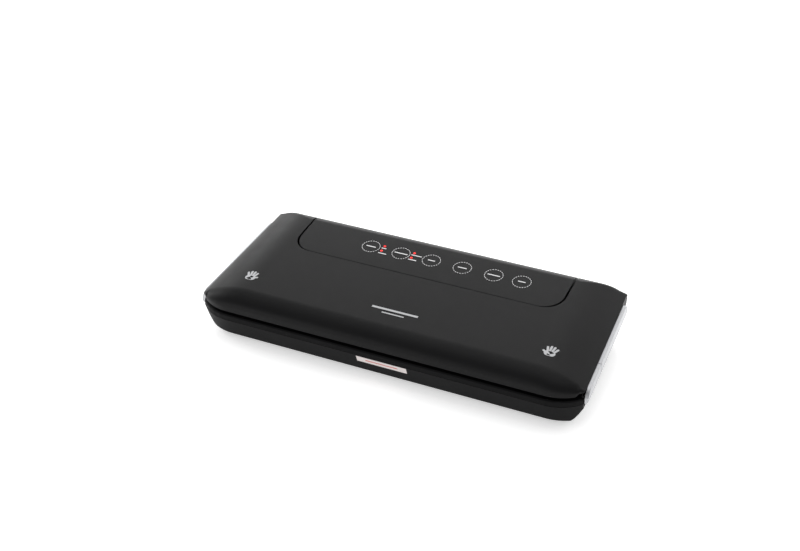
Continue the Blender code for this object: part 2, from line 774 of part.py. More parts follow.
def make_housing(frame, material):
    housing = add_object("control_housing", loft(housing_stations(), housing_outer, False), frame, material)
    inner = housing_stations(PANEL_HALF - PANEL_WALL, PANEL_CORNER - PANEL_WALL)
    cut(housing, loft(inner, housing_inner, False), frame, "hollow")
    holes = bmesh.new()
    for place in indicator_places():
        rod("Z", place, [INDICATOR_RADIUS + CLEARANCE] * 2, (TOP - 5 * mm, TOP + 5 * mm), 12, holes)
    for side in (-1, 1):
        ends = sorted((side * (PANEL_HALF - 6 * mm), side * (PANEL_HALF + 3 * mm)))
        rod("X", (0, 0), [PIN_RADIUS + CLEARANCE] * 2, ends, 20, holes)
    cut(housing, holes, frame, "holes")
    return housing


def indicator_places():
    return [(x, TOP * sin(LID_TILT) - row) for x in INDICATOR_COLUMNS for row in INDICATOR_ROWS]


def make_panel_electronics(frame, lens, board, film):
    for number, place in enumerate(indicator_places(), 1):
        shape = rod("Z", place, [INDICATOR_RADIUS] * 2, (TOP - PANEL_WALL - CLEARANCE, TOP), 12)
        add_object("indicator_%d" % number, shape, frame, lens)
    sensor = box((-78 * mm, 106 * mm), (-34 * mm, -8 * mm),
                 (TOP - PANEL_WALL - 1.2 * mm, TOP - PANEL_WALL - 0.8 * mm))
    add_object("touch_sensor", sensor, frame, film)
    top = TOP - PANEL_WALL - 4 * mm
    add_object("control_board", box((-90 * mm, 115 * mm), (-40 * mm, -6 * mm),
                                    (top - BOARD_THICKNESS, top)), frame, board)


# Lid

def hatch_profile(reach, half, back, low):
    """Outline cut out of the lid around the housing, open at the back."""
    def profile(x):
        here = reach - housing_setback(x, PANEL_CORNER, half)
        points = housing_front(here, -14 * mm, 22 * mm, 8)
        return points + [(back, 22 * mm), (back, low), (points[0][0], low)]
    return profile


def lid_stations(limit):
    marks = [CROWN_START, EDGE_START, EDGE_FULL,
             *[HALF - run * mm for run in (38.5, 30.5, 22.5, 15.5, 10.5, 2)]]
    return spread(limit, *[mark for mark in marks if mark < limit])


def make_lid_shell(frame, material):
    lid = add_object("lid_shell", loft(lid_stations(HALF), lid_outer), frame, material)
    reach = PANEL_REACH + PANEL_FRONT_GAP
    hatch = loft(housing_stations(HATCH_HALF), hatch_profile(reach, HATCH_HALF, 40 * mm, -30 * mm), False)
    cut(lid, hatch, frame, "hatch")
    cavity = combine(lid, loft(lid_stations(EDGE_START), lid_inner), frame, "DIFFERENCE", "cavity")
    outline = hatch_profile(reach + WALL, HATCH_HALF + WALL, 42 * mm, -32 * mm)
    rim = loft(housing_stations(HATCH_HALF + WALL), outline, False)
    cut(cavity, rim, frame, "hatch_wall")
    bosses = bmesh.new()
    bores = bmesh.new()
    for side in (-1, 1):
        ends = sorted((side * (HATCH_HALF - 2 * mm), side * (HATCH_HALF + PIN_BOSS_LENGTH)))
        rod("X", (0, 0), [PIN_BOSS_RADIUS] * 2, ends, 20, bosses)
        rod("X", (0, 0), [PIN_RADIUS + CLEARANCE] * 2, (ends[0] - 2 * mm, ends[1] + 2 * mm), 20, bores)
    cut(cavity, bosses, frame, "bosses")
    cut(lid, bores, frame, "bores")
    return lid


def make_lid_liner(frame, material):
    """Inner plate of the lid, a U around the housing, ending in front of the drums."""
    def outline(x):
        front = LID_FRONT + corner_setback(x) + WALL + CLEARANCE
        low = SPLIT + CLEARANCE
        return [(front, low), (front, low + 2 * mm), (-DRUM_RADIUS - 2.5 * mm, low + 2 * mm),
                (-DRUM_RADIUS - 2.5 * mm, low)]
    liner = add_object("lid_liner", loft(body_stations(EDGE_START - 2 * mm), outline), frame, material)
    gap = PANEL_REACH + PANEL_FRONT_GAP + WALL + CLEARANCE
    half = HATCH_HALF + WALL + CLEARANCE
    shape = loft(housing_stations(half, PANEL_CORNER), liner_cut(gap, half), False)
    cut(liner, shape, frame, "hatch")
    return liner


def liner_cut(reach, half):
    def profile(x):
        here = reach - housing_setback(x, PANEL_CORNER, half)
        return [(-here, -10 * mm), (-here, 15 * mm), (40 * mm, 15 * mm), (40 * mm, -10 * mm)]
    return profile


def make_lid_seals(frame, foam, silicone):
    low = SPLIT
    ring = frame_bar(CHAMBER_HALF + 3 * mm, -CHAMBER_AHEAD, CHAMBER_SPAN / 2 + 3 * mm, GASKET_WIDTH - 1 * mm,
                     low - GASKET_RISE, low)
    add_object("upper_gasket", ring, frame, foam)
    heater = HEATER_AT - REACH
    strip = box((-HEATER_HALF, HEATER_HALF), (heater - 4 * mm, heater + 4 * mm), (low - 1.4 * mm, low))
    add_object("pressure_strip", strip, frame, silicone)


def make_latch_hooks(frame, material):
    """Hooks under the lid; each barb points to the middle and rests just above its catch."""
    for name, side in sides():
        xs = sorted((side * (HOOK_AT - HOOK_SHANK / 2), side * (HOOK_AT + HOOK_SHANK / 2)))
        us = (HOOK_ALONG - HOOK_DEPTH / 2, HOOK_ALONG + HOOK_DEPTH / 2)
        shank = box(xs, us, (-HOOK_DROP, SPLIT))
        hook = add_object("latch_hook_" + name, shank, frame, material)
        inner = HOOK_AT - HOOK_SHANK / 2 - HOOK_BARB
        barb = box(sorted((side * inner, side * HOOK_AT)), us,
                   (-HOOK_DROP + 0.05 * mm, -HOOK_DROP + BARB_HEIGHT))
        join(hook, barb, frame, "barb")


def make_latch_sliders(frame, plastic, steel):
    """Sliders that the release buttons push in, away from the barbs."""
    low = CATCH_TOP - SLIDER_PLATE
    foot = CATCH_TOP - SLIDER_LEG
    outer = narrow(HALF, LATCH_ALONG)
    us = (LATCH_ALONG - SLIDER_WIDTH / 2, LATCH_ALONG + SLIDER_WIDTH / 2)
    inner = SLIDER_INNER
    for name, side in sides():
        section = [(inner, CATCH_TOP), (outer, CATCH_TOP), (outer, low), (inner + 2 * mm, low),
                   (inner + 2 * mm, foot), (inner, foot)]
        rings = [[(side * x, u, w) for x, w in section] for u in us]
        slider = add_object("latch_slider_" + name, add_rings(bmesh.new(), rings), frame, plastic)
        catch = HOOK_AT - HOOK_SHANK / 2 - 0.5 * mm
        window = box(sorted((side * catch, side * (catch + CATCH_WINDOW))),
                     (us[0] - 3 * mm, us[1] - 1.5 * mm),
                     (low - 1 * mm, CATCH_TOP + 1 * mm))
        cut(slider, window, frame, "window")
        length = SPRING_LENGTH - SPRING_WIRE_RADIUS
        coil = helix(LATCH_ALONG, foot + 3 * mm, SPRING_FOOT, length, SPRING_TURNS, SPRING_RADIUS,
                     SPRING_WIRE_RADIUS)
        if side < 0:
            bmesh.ops.transform(coil, matrix=Matrix.Scale(-1, 4, (1, 0, 0)), verts=coil.verts)
        add_object("latch_spring_" + name, coil, frame, steel)


def make_hinge_pins(frame, steel):
    """Headed pins through the housing's side walls into the lid's drums."""
    head = PANEL_HALF - PANEL_WALL - CLEARANCE
    radii = (PIN_HEAD_RADIUS, PIN_HEAD_RADIUS, PIN_RADIUS, PIN_RADIUS)
    for name, side in sides():
        places = [side * p for p in (head - 2 * mm, head, head, head + PIN_LENGTH - 2 * mm)]
        add_object("hinge_pin_" + name, rod("X", (0, 0), radii, places, 20), frame, steel)


# Sealing parts on the deck

def make_heater(frame, plastic, metal, tape):
    surface = -DECK_DROP
    middle = HEATER_AT - REACH
    half = HEATER_BAR / 2
    bar_top = surface - 0.2 * mm
    bar = box((-HEATER_HALF, HEATER_HALF), (middle - half, middle + half),
              (surface - 9 * mm + CLEARANCE, bar_top))
    add_object("heater_bar", bar, frame, plastic)
    strip_low = bar_top + CLEARANCE
    strip_top = strip_low + 0.3 * mm
    strip_half = HEATER_STRIP / 2
    strip = box((-HEATER_HALF + 3 * mm, HEATER_HALF - 3 * mm), (middle - strip_half, middle + strip_half),
                (strip_low, strip_top))
    add_object("heater_strip", strip, frame, metal)
    low = strip_top + CLEARANCE
    outline = [(middle - half, low - 0.4 * mm), (middle - half + 1.2 * mm, low),
               (middle + half - 1.2 * mm, low),
               (middle + half, low - 0.4 * mm), (middle + half, low - 0.2 * mm),
               (middle + half - 1.1 * mm, low + 0.25 * mm),
               (middle - half + 1.1 * mm, low + 0.25 * mm), (middle - half, low - 0.2 * mm)]
    add_object("ptfe_tape", prism(outline, -HEATER_HALF + 1 * mm, HEATER_HALF - 1 * mm), frame, tape)


def make_chamber_parts(frame, foam, plastic):
    surface = -DECK_DROP
    ring = frame_bar(CHAMBER_HALF + 2.5 * mm + CLEARANCE, -CHAMBER_AHEAD,
                     CHAMBER_SPAN / 2 + 2.5 * mm + CLEARANCE,
                     GASKET_WIDTH, surface - GASKET_BED + CLEARANCE, surface + GASKET_RISE)
    add_object("lower_gasket", ring, frame, foam)
    low = surface - CHAMBER_DEPTH - NOZZLE_TAIL
    nozzle = rod("Z", (NOZZLE_X, NOZZLE_ALONG), [NOZZLE_RADIUS] * 2,
                 (low, surface - CHAMBER_DEPTH + 5 * mm), 16)
    item = add_object("suction_nozzle", nozzle, frame, plastic)
    bore = rod("Z", (NOZZLE_X, NOZZLE_ALONG), [NOZZLE_BORE] * 2, (low - 1 * mm, surface), 12)
    cut(item, bore, frame, "bore")


def make_lid_switch(frame, plastic, white):
    """A plunger that the closed lid presses, above its switch."""
    surface = -DECK_DROP
    radii = (PLUNGER_RADIUS, PLUNGER_RADIUS, PLUNGER_RADIUS + 1.5 * mm, PLUNGER_RADIUS + 1.5 * mm)
    collar = surface - DECK_PLATE - CLEARANCE
    places = (surface + PLUNGER_RISE, collar, collar, collar - 1.2 * mm)
    add_object("switch_plunger", rod("Z", (SWITCH_X, SWITCH_ALONG), radii, places, 16), frame, white)
    top = collar - 1.2 * mm - PLUNGER_TRAVEL - CLEARANCE
    body = box((SWITCH_X - 6 * mm, SWITCH_X + 6 * mm), (SWITCH_ALONG - 3 * mm, SWITCH_ALONG + 3 * mm),
               (top - 7 * mm, top))
    add_object("lid_switch", body, frame, plastic)


# Inside the housing

def make_pump(frame, metal, plastic, rubber):
    centre = (PUMP_ALONG, PUMP_HEIGHT)
    end = PUMP_X - 1 * mm
    radii = (MOTOR_RADIUS - 2 * mm, MOTOR_RADIUS, MOTOR_RADIUS, MOTOR_RADIUS - 2 * mm)
    places = (end - MOTOR_LENGTH, end - MOTOR_LENGTH + 1.5 * mm, end - 1.5 * mm, end)
    add_object("pump_motor", rod("X", centre, radii, places, 20), frame, metal)
    length, depth, height = HEAD_SIZE
    head = add_object("pump_head", box((PUMP_X, PUMP_X + length),
                                       (PUMP_ALONG - depth / 2, PUMP_ALONG + depth / 2),
                                       (PUMP_HEIGHT - height / 2, PUMP_HEIGHT + height / 2)), frame, plastic)
    room = CRANK_RADIUS + 2 * mm
    cut(head, rod("X", centre, [room] * 2, (PUMP_X - 1 * mm, PUMP_X + 12 * mm), 24), frame, "crank_case")
    crank = add_object("pump_crank", rod("X", centre, (1.5 * mm, 1.5 * mm, CRANK_RADIUS, CRANK_RADIUS),
                                         (PUMP_X - 0.6 * mm, PUMP_X + 1 * mm, PUMP_X + 1 * mm,
                                          PUMP_X + 6 * mm), 24), frame, metal)
    pin = rod("X", (PUMP_ALONG, PUMP_HEIGHT + CRANK_THROW), [2.5 * mm] * 2,
              (PUMP_X + 5 * mm, PUMP_X + 10 * mm), 16)
    join(crank, pin, frame, "pin")
    tail = DECK_DROP + CHAMBER_DEPTH + NOZZLE_TAIL
    nozzle_low = HINGE_HEIGHT + NOZZLE_ALONG * sin(DECK_TILT) - tail * cos(DECK_TILT)
    nozzle_along = NOZZLE_ALONG * cos(DECK_TILT) + tail * sin(DECK_TILT)
    make_hose(frame, NOZZLE_X, nozzle_along, nozzle_low - CLEARANCE * 2, rubber)
    valve = rod("X", (PUMP_ALONG, PUMP_HEIGHT), (6 * mm, 6 * mm, 3 * mm, 3 * mm),
                (PUMP_X + length + 1 * mm, PUMP_X + length + 16 * mm, PUMP_X + length + 16 * mm,
                 PUMP_X + length + 20 * mm), 16)
    add_object("vent_valve", valve, frame, metal)


def make_hose(frame, x, nozzle_along, nozzle_low, material):
    """Hose from the front of the pump head to the bottom of the nozzle."""
    start = PUMP_ALONG - HEAD_SIZE[1] / 2 - CLEARANCE
    level = nozzle_low - 6 * mm
    rings = []
    run = abs(nozzle_along - start) - 6 * mm
    path = [(start - run * i / 3, level, 0.0) for i in range(3)]
    for i in range(6):
        a = pi / 2 * i / 5
        path.append((start - run - 6 * mm * sin(a), level + 6 * mm * (1 - cos(a)), a))
    for along, height, turn in path:
        ring = []
        for k in range(10):
            b = 2 * pi * k / 10
            side = HOSE_RADIUS * cos(b)
            up = HOSE_RADIUS * sin(b)
            ring.append((x + side, along + up * sin(turn), height + up * cos(turn)))
        rings.append(ring)
    add_object("vacuum_hose", add_rings(bmesh.new(), rings), frame, material)


def make_power_supply(frame, iron, copper, board):
    width, depth, height = CORE_SIZE
    low = BODY_FLOOR + WALL + 2 * mm
    middle = PUMP_ALONG
    core = add_object("transformer_core", box((TRANSFORMER_X - width / 2, TRANSFORMER_X + width / 2),
                                              (middle - depth / 2, middle + depth / 2),
                                              (low, low + height)), frame, iron)
    leg = 8 * mm
    windows = bmesh.new()
    for side in (-1, 1):
        xs = sorted((TRANSFORMER_X + side * leg, TRANSFORMER_X + side * (width / 2 - leg)))
        box(xs, (middle - depth, middle + depth), (low + leg, low + height - leg), windows)
    cut(core, windows, frame, "windows")
    gap = CLEARANCE * 2
    side_room = width / 2 - leg - gap
    coil = add_object("transformer_coil", box((TRANSFORMER_X - side_room, TRANSFORMER_X + side_room),
                                              (middle - COIL_HALF - 3 * mm, middle + COIL_HALF + 3 * mm),
                                              (low + leg + gap, low + height - leg - gap)), frame, copper)
    hole = box((TRANSFORMER_X - leg - gap, TRANSFORMER_X + leg + gap),
               (middle - depth / 2 - gap, middle + depth / 2 + gap),
               (low, low + height))
    cut(coil, hole, frame, "hole")
    plate = add_object("power_board", box((-25 * mm, 40 * mm), (-42 * mm, 8 * mm),
                                          (low + 1 * mm, low + 1 * mm + BOARD_THICKNESS)),
                       frame, board)
    parts = bmesh.new()
    box((-15 * mm, 2 * mm), (-36 * mm, -18 * mm), (low + 2 * mm, low + 17 * mm), parts)
    rod("Z", (18 * mm, -26 * mm), (7 * mm, 7 * mm), (low + 2 * mm, low + 24 * mm), 16, parts)
    box((8 * mm, 30 * mm), (-12 * mm, -2 * mm), (low + 2 * mm, low + 13 * mm), parts)
    join(plate, parts, frame, "parts")


# Underneath and at the back

def make_feet_and_screws(frame, rubber, steel):
    for number, place in enumerate(foot_places(), 1):
        shape = rod("Z", place, (FOOT_RADIUS - 0.8 * mm, FOOT_RADIUS, FOOT_RADIUS),
                    (0, 0.8 * mm, FOOT_HEIGHT), 20)
        add_object("foot_%d" % number, shape, frame, rubber)
    for number, place in enumerate(screw_places(), 1):
        seat = screw_seat() - CLEARANCE
        radii = (SCREW_HEAD_RADIUS, SCREW_HEAD_RADIUS, SCREW_RADIUS, SCREW_RADIUS)
        shape = rod("Z", place, radii, (seat - SCREW_HEAD, seat, seat, seat + SCREW_LENGTH - SCREW_HEAD), 16)
        add_object("body_screw_%d" % number, shape, frame, steel)


def make_cord_inlet(frame, plastic):
    radii = (INLET_RADIUS, INLET_RADIUS, INLET_RADIUS + 2 * mm, INLET_RADIUS + 2 * mm)
    shoulder = DRUM_RADIUS - WALL - 2.5 * mm - CLEARANCE * 2
    places = (DRUM_RADIUS - 0.1 * mm, shoulder, shoulder, shoulder - 2.2 * mm)
    inlet = add_object("cord_inlet", rod("Y", (INLET_X, INLET_HEIGHT), radii, places, 20), frame, plastic)
    bore = rod("Y", (INLET_X, INLET_HEIGHT), [INLET_RADIUS - 1.8 * mm] * 2,
               (shoulder - 5 * mm, DRUM_RADIUS + 5 * mm), 16)
    cut(inlet, bore, frame, "bore")


# Run

def build():
    clear_scene()
    body = make_frame("body_frame", 0, 0)
    deck = make_frame("deck_frame", HINGE_HEIGHT, DECK_TILT)
    lid = make_frame("lid_frame", HINGE_HEIGHT, LID_TILT)
    black = make_material("black_abs", 0.03, 0.55)
    soft = make_material("soft_touch_black", 0.035, 0.7)
    liner = make_material("black_liner", 0.025, 0.6)
    silver = make_material("satin_silver", (0.66, 0.66, 0.67), 0.35, 0.9)
    steel = make_material("zinc_plated_steel", (0.6, 0.6, 0.62), 0.3, 1.0)
    foam = make_material("grey_foam", 0.08, 0.95)
    silicone = make_material("silicone", (0.5, 0.1, 0.07), 0.6)
    tape = make_material("ptfe_cloth", (0.35, 0.27, 0.18), 0.5)
    rubber = make_material("black_rubber", 0.02, 0.9)
    red = make_material("red_lens", (0.8, 0.02, 0.01), 0.2)
    board = make_material("circuit_board", (0.02, 0.12, 0.05), 0.45)
    copper = make_material("copper_winding", (0.55, 0.2, 0.08), 0.35, 1.0)
    film = make_material("sensor_film", (0.4, 0.25, 0.08), 0.4)
    white = make_material("white_acetal", 0.75, 0.4)
    make_base_shell(body, black)
    make_deck(body, deck, black)
    make_drip_tray(deck, black)
    make_strips(body, silver)
    make_housing(lid, black)
    make_panel_electronics(lid, red, board, film)
    make_lid_shell(lid, soft)
    make_lid_liner(lid, liner)
    make_lid_seals(lid, foam, silicone)
    make_latch_hooks(lid, liner)
    make_latch_sliders(body, white, steel)
    make_hinge_pins(lid, steel)
    make_heater(deck, liner, steel, tape)
    make_chamber_parts(deck, foam, liner)
    make_lid_switch(deck, liner, white)
    make_pump(body, steel, black, rubber)
    make_power_supply(body, steel, copper, board)
    make_feet_and_screws(body, rubber, steel)
    make_cord_inlet(body, rubber)


build()
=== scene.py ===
"""Looks of the countertop vacuum sealer: fine shells, printed marks, finishes, floor, lights and camera.

Lengths are in metres. Profiles are (along, up) points measured from the lid's hinge axis, as in the
design: `along` runs to the back. The body frame is level and starts at the table, the deck and lid
frames tilt about the hinge axis.
"""
import json
from math import asin, atan2, cos, pi, radians, sin, sqrt, tan

import bmesh
import bpy
from mathutils import Matrix, Vector


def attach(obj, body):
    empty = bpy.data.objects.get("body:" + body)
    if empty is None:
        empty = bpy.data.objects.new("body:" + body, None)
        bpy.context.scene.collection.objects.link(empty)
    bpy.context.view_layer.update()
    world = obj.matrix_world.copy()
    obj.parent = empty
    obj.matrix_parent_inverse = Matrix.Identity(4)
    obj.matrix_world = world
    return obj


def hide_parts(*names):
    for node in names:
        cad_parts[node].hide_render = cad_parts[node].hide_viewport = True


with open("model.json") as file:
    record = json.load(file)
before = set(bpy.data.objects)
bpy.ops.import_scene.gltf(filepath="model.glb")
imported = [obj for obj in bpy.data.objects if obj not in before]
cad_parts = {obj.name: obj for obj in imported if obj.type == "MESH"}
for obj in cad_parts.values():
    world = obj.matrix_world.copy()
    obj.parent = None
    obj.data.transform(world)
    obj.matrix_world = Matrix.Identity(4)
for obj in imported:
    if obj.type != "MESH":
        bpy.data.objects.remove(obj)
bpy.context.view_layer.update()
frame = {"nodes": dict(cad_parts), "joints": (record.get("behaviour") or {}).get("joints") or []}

mm = 0.001
joints = {joint["name"]: joint for joint in frame["joints"]}
HINGE = Vector(joints["lid_hinge"]["pos_m"])

# Sizes that the shells share with the design
HALF = 190.5 * mm
BODY_HALF = 190 * mm
REACH = 142 * mm
TAPER = 0.21
WALL = 2.6 * mm
GAP = 0.3 * mm
LID_TILT = radians(5.88)
OPEN_ANGLE = radians(1.5)
DECK_TILT = LID_TILT + OPEN_ANGLE
DRUM = 15 * mm
THICKNESS = 16.6 * mm
SPLIT = DRUM - THICKNESS
CORNER_RADIUS = 46 * mm
CORNER_START = 158 * mm
CROWN_START = 144 * mm
CROWN_DROP = 12.8 * mm
CROWN_POWER = 2.4
FRONT_ROUND = 20 * mm
EDGE_LIFT = 2.7 * mm
EDGE_START = 184 * mm
EDGE_RAMP = 2.5 * mm
LID_FRONT = -REACH / cos(LID_TILT)
DECK_DROP = 2.2 * mm
SKIRT = 5.5 * mm
FLOOR = 4 * mm
SIDE_START = 180 * mm
SIDE_WALL = 5.5 * mm
PANEL_HALF = 136.5 * mm
PANEL_REACH = 50.5 * mm
PANEL_CORNER = 20 * mm
PANEL_WALL = 2.2 * mm
HATCH_HALF = 138.5 * mm
HATCH_REACH = PANEL_REACH + 0.4 * mm
PIN_RADIUS = 3 * mm
STRIP_FIRST = 15 * mm - REACH
STRIP_LAST = 5 * mm
STRIP_SPLIT = 55 * mm - REACH
STRIP_HEIGHT = 18 * mm
STRIP_ROUND = 9 * mm
STRIP_FACE = 3.5 * mm
STRIP_SEAM = 0.3 * mm
LATCH_ALONG = 34.3 * mm - REACH
POST_AT = 154.6 * mm
POST_LENGTH = 3.5 * mm
SCREW_AT = 126 * mm
SCREW_ROWS = (24 * mm - REACH, -8 * mm)
INLET_PLACE = (150 * mm, 18 * mm)
LENS_HOLE = 1.5 * mm
EDGE_EASE = 0.25 * mm

# Printed marks: the row of keys, the bars' widths, and each key's place along X and length in millimetres
KEY_ROW = 120.9 * mm
KEY_BAR_WIDTH = 1.2 * mm
LAMP_BAR_WIDTH = 1.1 * mm
KEY_BARS = ((-64, 10), (-32, 13.7), (0, 7.4), (32, 9), (64, 12.6), (92, 7.4))

BODY_PLACE = Matrix.Translation((0, HINGE.y, 0))
LID_PLACE = Matrix.Translation(HINGE) @ Matrix.Rotation(LID_TILT, 4, "X")


# Small helpers for meshes

def narrow(x, along):
    return x * (1 - TAPER * (along + REACH))


def add_rings(shape, rings, capped=True):
    loops = [[shape.verts.new(point) for point in ring] for ring in rings]
    count = len(loops[0])
    for first, second in zip(loops, loops[1:]):
        for i in range(count):
            j = (i + 1) % count
            shape.faces.new((first[i], first[j], second[j], second[i]))
    if capped:
        shape.faces.new(loops[0])
        shape.faces.new(loops[-1])
    return shape


def loft(stations, profile, tapered=True):
    rings = []
    for x in stations:
        rings.append([(narrow(x, u) if tapered else x, u, w) for u, w in profile(x)])
    return add_rings(bmesh.new(), rings)


def box(xs, us, ws, shape=None):
    outline = [(us[0], ws[0]), (us[1], ws[0]), (us[1], ws[1]), (us[0], ws[1])]
    return add_rings(shape or bmesh.new(), [[(x, u, w) for u, w in outline] for x in xs])


def rod(direction, centre, radii, places, sides=48, shape=None):
    rings = []
    for radius, place in zip(radii, places):
        ring = []
        for i in range(sides):
            a = radius * cos(2 * pi * i / sides)
            b = radius * sin(2 * pi * i / sides)
            ring.append({"X": (place, centre[0] + a, centre[1] + b),
                         "Y": (centre[0] + a, place, centre[1] + b),
                         "Z": (centre[0] + a, centre[1] + b, place)}[direction])
        rings.append(ring)
    return add_rings(shape or bmesh.new(), rings)


def spread(limit, *marks):
    places = sorted({round(mark, 6) for mark in (*marks, limit)})
    return [-place for place in reversed(places)] + places


def even(first, last, count):
    return [first + (last - first) * i / count for i in range(count + 1)]


def to_object(name, shape, place=Matrix.Identity(4)):
    bmesh.ops.recalc_face_normals(shape, faces=shape.faces)
    mesh = bpy.data.meshes.new(name)
    shape.to_mesh(mesh)
    shape.free()
    mesh.transform(place)
    item = bpy.data.objects.new(name, mesh)
    bpy.context.collection.objects.link(item)
    return item


def settle(item):
    """Replace an object's mesh with its evaluated mesh and drop the modifiers."""
    bpy.context.view_layer.update()
    graph = bpy.context.evaluated_depsgraph_get()
    mesh = bpy.data.meshes.new_from_object(item.evaluated_get(graph))
    item.modifiers.clear()
    old = item.data
    item.data = mesh
    bpy.data.meshes.remove(old)
    return item


def carve(item, cutters):
    """Cut or join shapes one after another: (operation, bmesh, place)."""
    for operation, shape, place in cutters:
        tool = to_object("tool", shape, place)
        change = item.modifiers.new("carve", "BOOLEAN")
        change.object = tool
        change.operation = operation
        change.solver = "EXACT"
        settle(item)
        bpy.data.objects.remove(tool, do_unlink=True)
    return item


def smooth(item, angle=30):
    """Smooth shading that keeps large flat faces flat beside their rounded edges."""
    item.data.shade_smooth()
    item.data.set_sharp_from_angle(angle=radians(angle))
    change = item.modifiers.new("flatten", "WEIGHTED_NORMAL")
    change.keep_sharp = True
    return settle(item)


def ease(item, width=0.35 * mm, segments=2, angle=40):
    """Take the sharpness off moulded edges."""
    change = item.modifiers.new("ease", "BEVEL")
    change.width = width
    change.segments = segments
    change.limit_method = "ANGLE"
    change.angle_limit = radians(angle)
    change.harden_normals = False
    return settle(item)


def dress(item, body, slot, *materials):
    """Give a finished piece its finish and its body."""
    item.data.materials.clear()
    for material in materials:
        item.data.materials.append(material)
    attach(item, body)
    return item


# Outlines of the shells

def corner_setback(x):
    over = abs(x) - CORNER_START
    return CORNER_RADIUS - sqrt(CORNER_RADIUS ** 2 - over ** 2) if over > 0 else 0.0


def crown_drop(x):
    over = (abs(x) - CROWN_START) / (HALF - CROWN_START)
    return CROWN_DROP * over ** CROWN_POWER if over > 0 else 0.0


def drum_arc(radius, height, last, steps=36):
    fillet = min(6 * mm, 0.9 * height)
    centre_w = height - fillet
    centre_u = sqrt(max((radius - fillet) ** 2 - centre_w ** 2, 0.0))
    turn = atan2(centre_w, centre_u)
    points = []
    for a in even(pi / 2, turn, 6):
        points.append((centre_u + fillet * cos(a), centre_w + fillet * sin(a)))
    for a in even(min(turn, pi / 2), last, steps)[1:]:
        points.append((radius * cos(a), radius * sin(a)))
    return points


def lid_front(x, inset, base):
    top = DRUM - crown_drop(x) - inset
    rise = top - base
    front = LID_FRONT + corner_setback(x) + inset
    face = base + 0.2 * rise
    sweep = FRONT_ROUND * rise / THICKNESS
    points = [(front + base * tan(LID_TILT), base)]
    for a in even(0, pi / 2, 20):
        level = face + (top - face) * sin(a)
        curve = front + face * tan(LID_TILT) + sweep * (1 - cos(a))
        points.append((max(curve, front + level * tan(LID_TILT)), level))
    return points, top


def lid_outer(x):
    base = SPLIT + EDGE_LIFT * min(max(0.0, (abs(x) - EDGE_START) / EDGE_RAMP), 1.0)
    points, top = lid_front(x, 0.0, base)
    return points + drum_arc(DRUM, top, -pi - asin(base / DRUM))


def lid_inner(x):
    points, top = lid_front(x, WALL, SPLIT)
    points[0] = (points[0][0], SPLIT - 4 * mm)
    radius = DRUM - WALL
    seat = -DRUM - GAP
    return points + drum_arc(radius, min(top, radius), -pi) + [(seat, SPLIT + 0.6 * mm),
                                                               (seat, SPLIT - 4 * mm)]


def lid_stations(limit):
    marks = even(0, CROWN_START, 12)[1:] + even(CROWN_START, 176 * mm, 12) + even(176 * mm, EDGE_START,
                                                                                  6) + even(EDGE_START,
                                                                                            HALF, 13)
    return spread(limit, *[mark for mark in marks if mark < limit])


def housing_setback(x, corner=PANEL_CORNER, half=PANEL_HALF):
    over = abs(x) - (half - corner)
    return corner - sqrt(max(corner ** 2 - over ** 2, 0.0)) if over > 0 else 0.0


def housing_stations(half=PANEL_HALF, corner=PANEL_CORNER, steps=14):
    turns = [half - corner + corner * sin(pi / 2 * i / steps) for i in range(steps + 1)]
    return spread(half, *even(10 * mm, half - corner, 8)[:-1], *turns)


def hinge_arc(reach, low, high, steps=12):
    return [(-sqrt(reach ** 2 - w ** 2), w) for w in even(low, high, steps)]


def hatch(reach, half, depth=-30 * mm):
    def profile(x):
        here = reach - housing_setback(x, PANEL_CORNER, half)
        points = hinge_arc(here, -14 * mm, 22 * mm)
        return points + [(40 * mm, 22 * mm), (40 * mm, depth), (points[0][0], depth)]
    return loft(housing_stations(half), profile, False)


def deck_level(along):
    return HINGE.z + tan(DECK_TILT) * along - DECK_DROP / cos(DECK_TILT)


def deck_in_lid(along):
    return tan(OPEN_ANGLE) * along - DECK_DROP


def body_stations(limit):
    marks = even(20 * mm, 140 * mm, 6) + even(CORNER_START, SIDE_START, 14) + even(SIDE_START, BODY_HALF, 8)
    return spread(limit, *[mark for mark in marks if mark < limit])


def underside(x, along):
    over = max(0.0, (abs(x) - SIDE_START) / (BODY_HALF - SIDE_START))
    return FLOOR + over ** 1.3 * (14 * mm + 0.103 * (along + REACH))


def rounded_foot(front, rim, low, slope, radius, steps=8):
    """Front wall sloping in to a rounded lower edge."""
    angle = pi / 2 - slope
    reach = radius * tan(angle / 2)
    run = (rim - low) * tan(slope)
    corner = front + run
    centre = (corner + reach, low + radius)
    points = [(front, rim)]
    for a in even(pi + slope, 1.5 * pi, steps):
        points.append((centre[0] + radius * cos(a), centre[1] + radius * sin(a)))
    return points


def body_outer(x):
    front = corner_setback(x) - REACH
    rim = deck_level(front) - SKIRT - GAP
    low = underside(x, front)
    points = rounded_foot(front, rim, low, radians(21), min(4.5 * mm, (rim - low) * 0.45))
    back_low = underside(x, DRUM)
    for a in even(-pi / 2, 0, 6):
        points.append((DRUM - 1.2 * mm + 4 * mm * (cos(a) - 1), back_low + 4 * mm * (1 + sin(a))))
    return points + [(DRUM, deck_level(DRUM) - SKIRT - GAP)]


def body_inner(x):
    front = corner_setback(x) - REACH
    rim = deck_level(front) - SKIRT
    low = underside(x, front) + WALL + (1.5 * mm if abs(x) > SIDE_START else 0)
    run = max(rim - low - 1 * mm, 0) * tan(radians(21))
    back = DRUM - WALL
    return [
        (front + WALL, rim + 8 * mm),
        (front + WALL + 0.2 * mm, rim),
        (front + WALL + 0.4 * mm + run, low + 1 * mm),
        (front + WALL + 2.4 * mm + run, low),
        (back - 2.5 * mm, underside(x, back) + WALL),
        (back, deck_level(back) + 8 * mm),
    ]


def strip_level(along):
    edge = SPLIT + EDGE_LIFT
    return HINGE.z + (edge + sin(LID_TILT) * along) / cos(LID_TILT) - 0.6 * mm


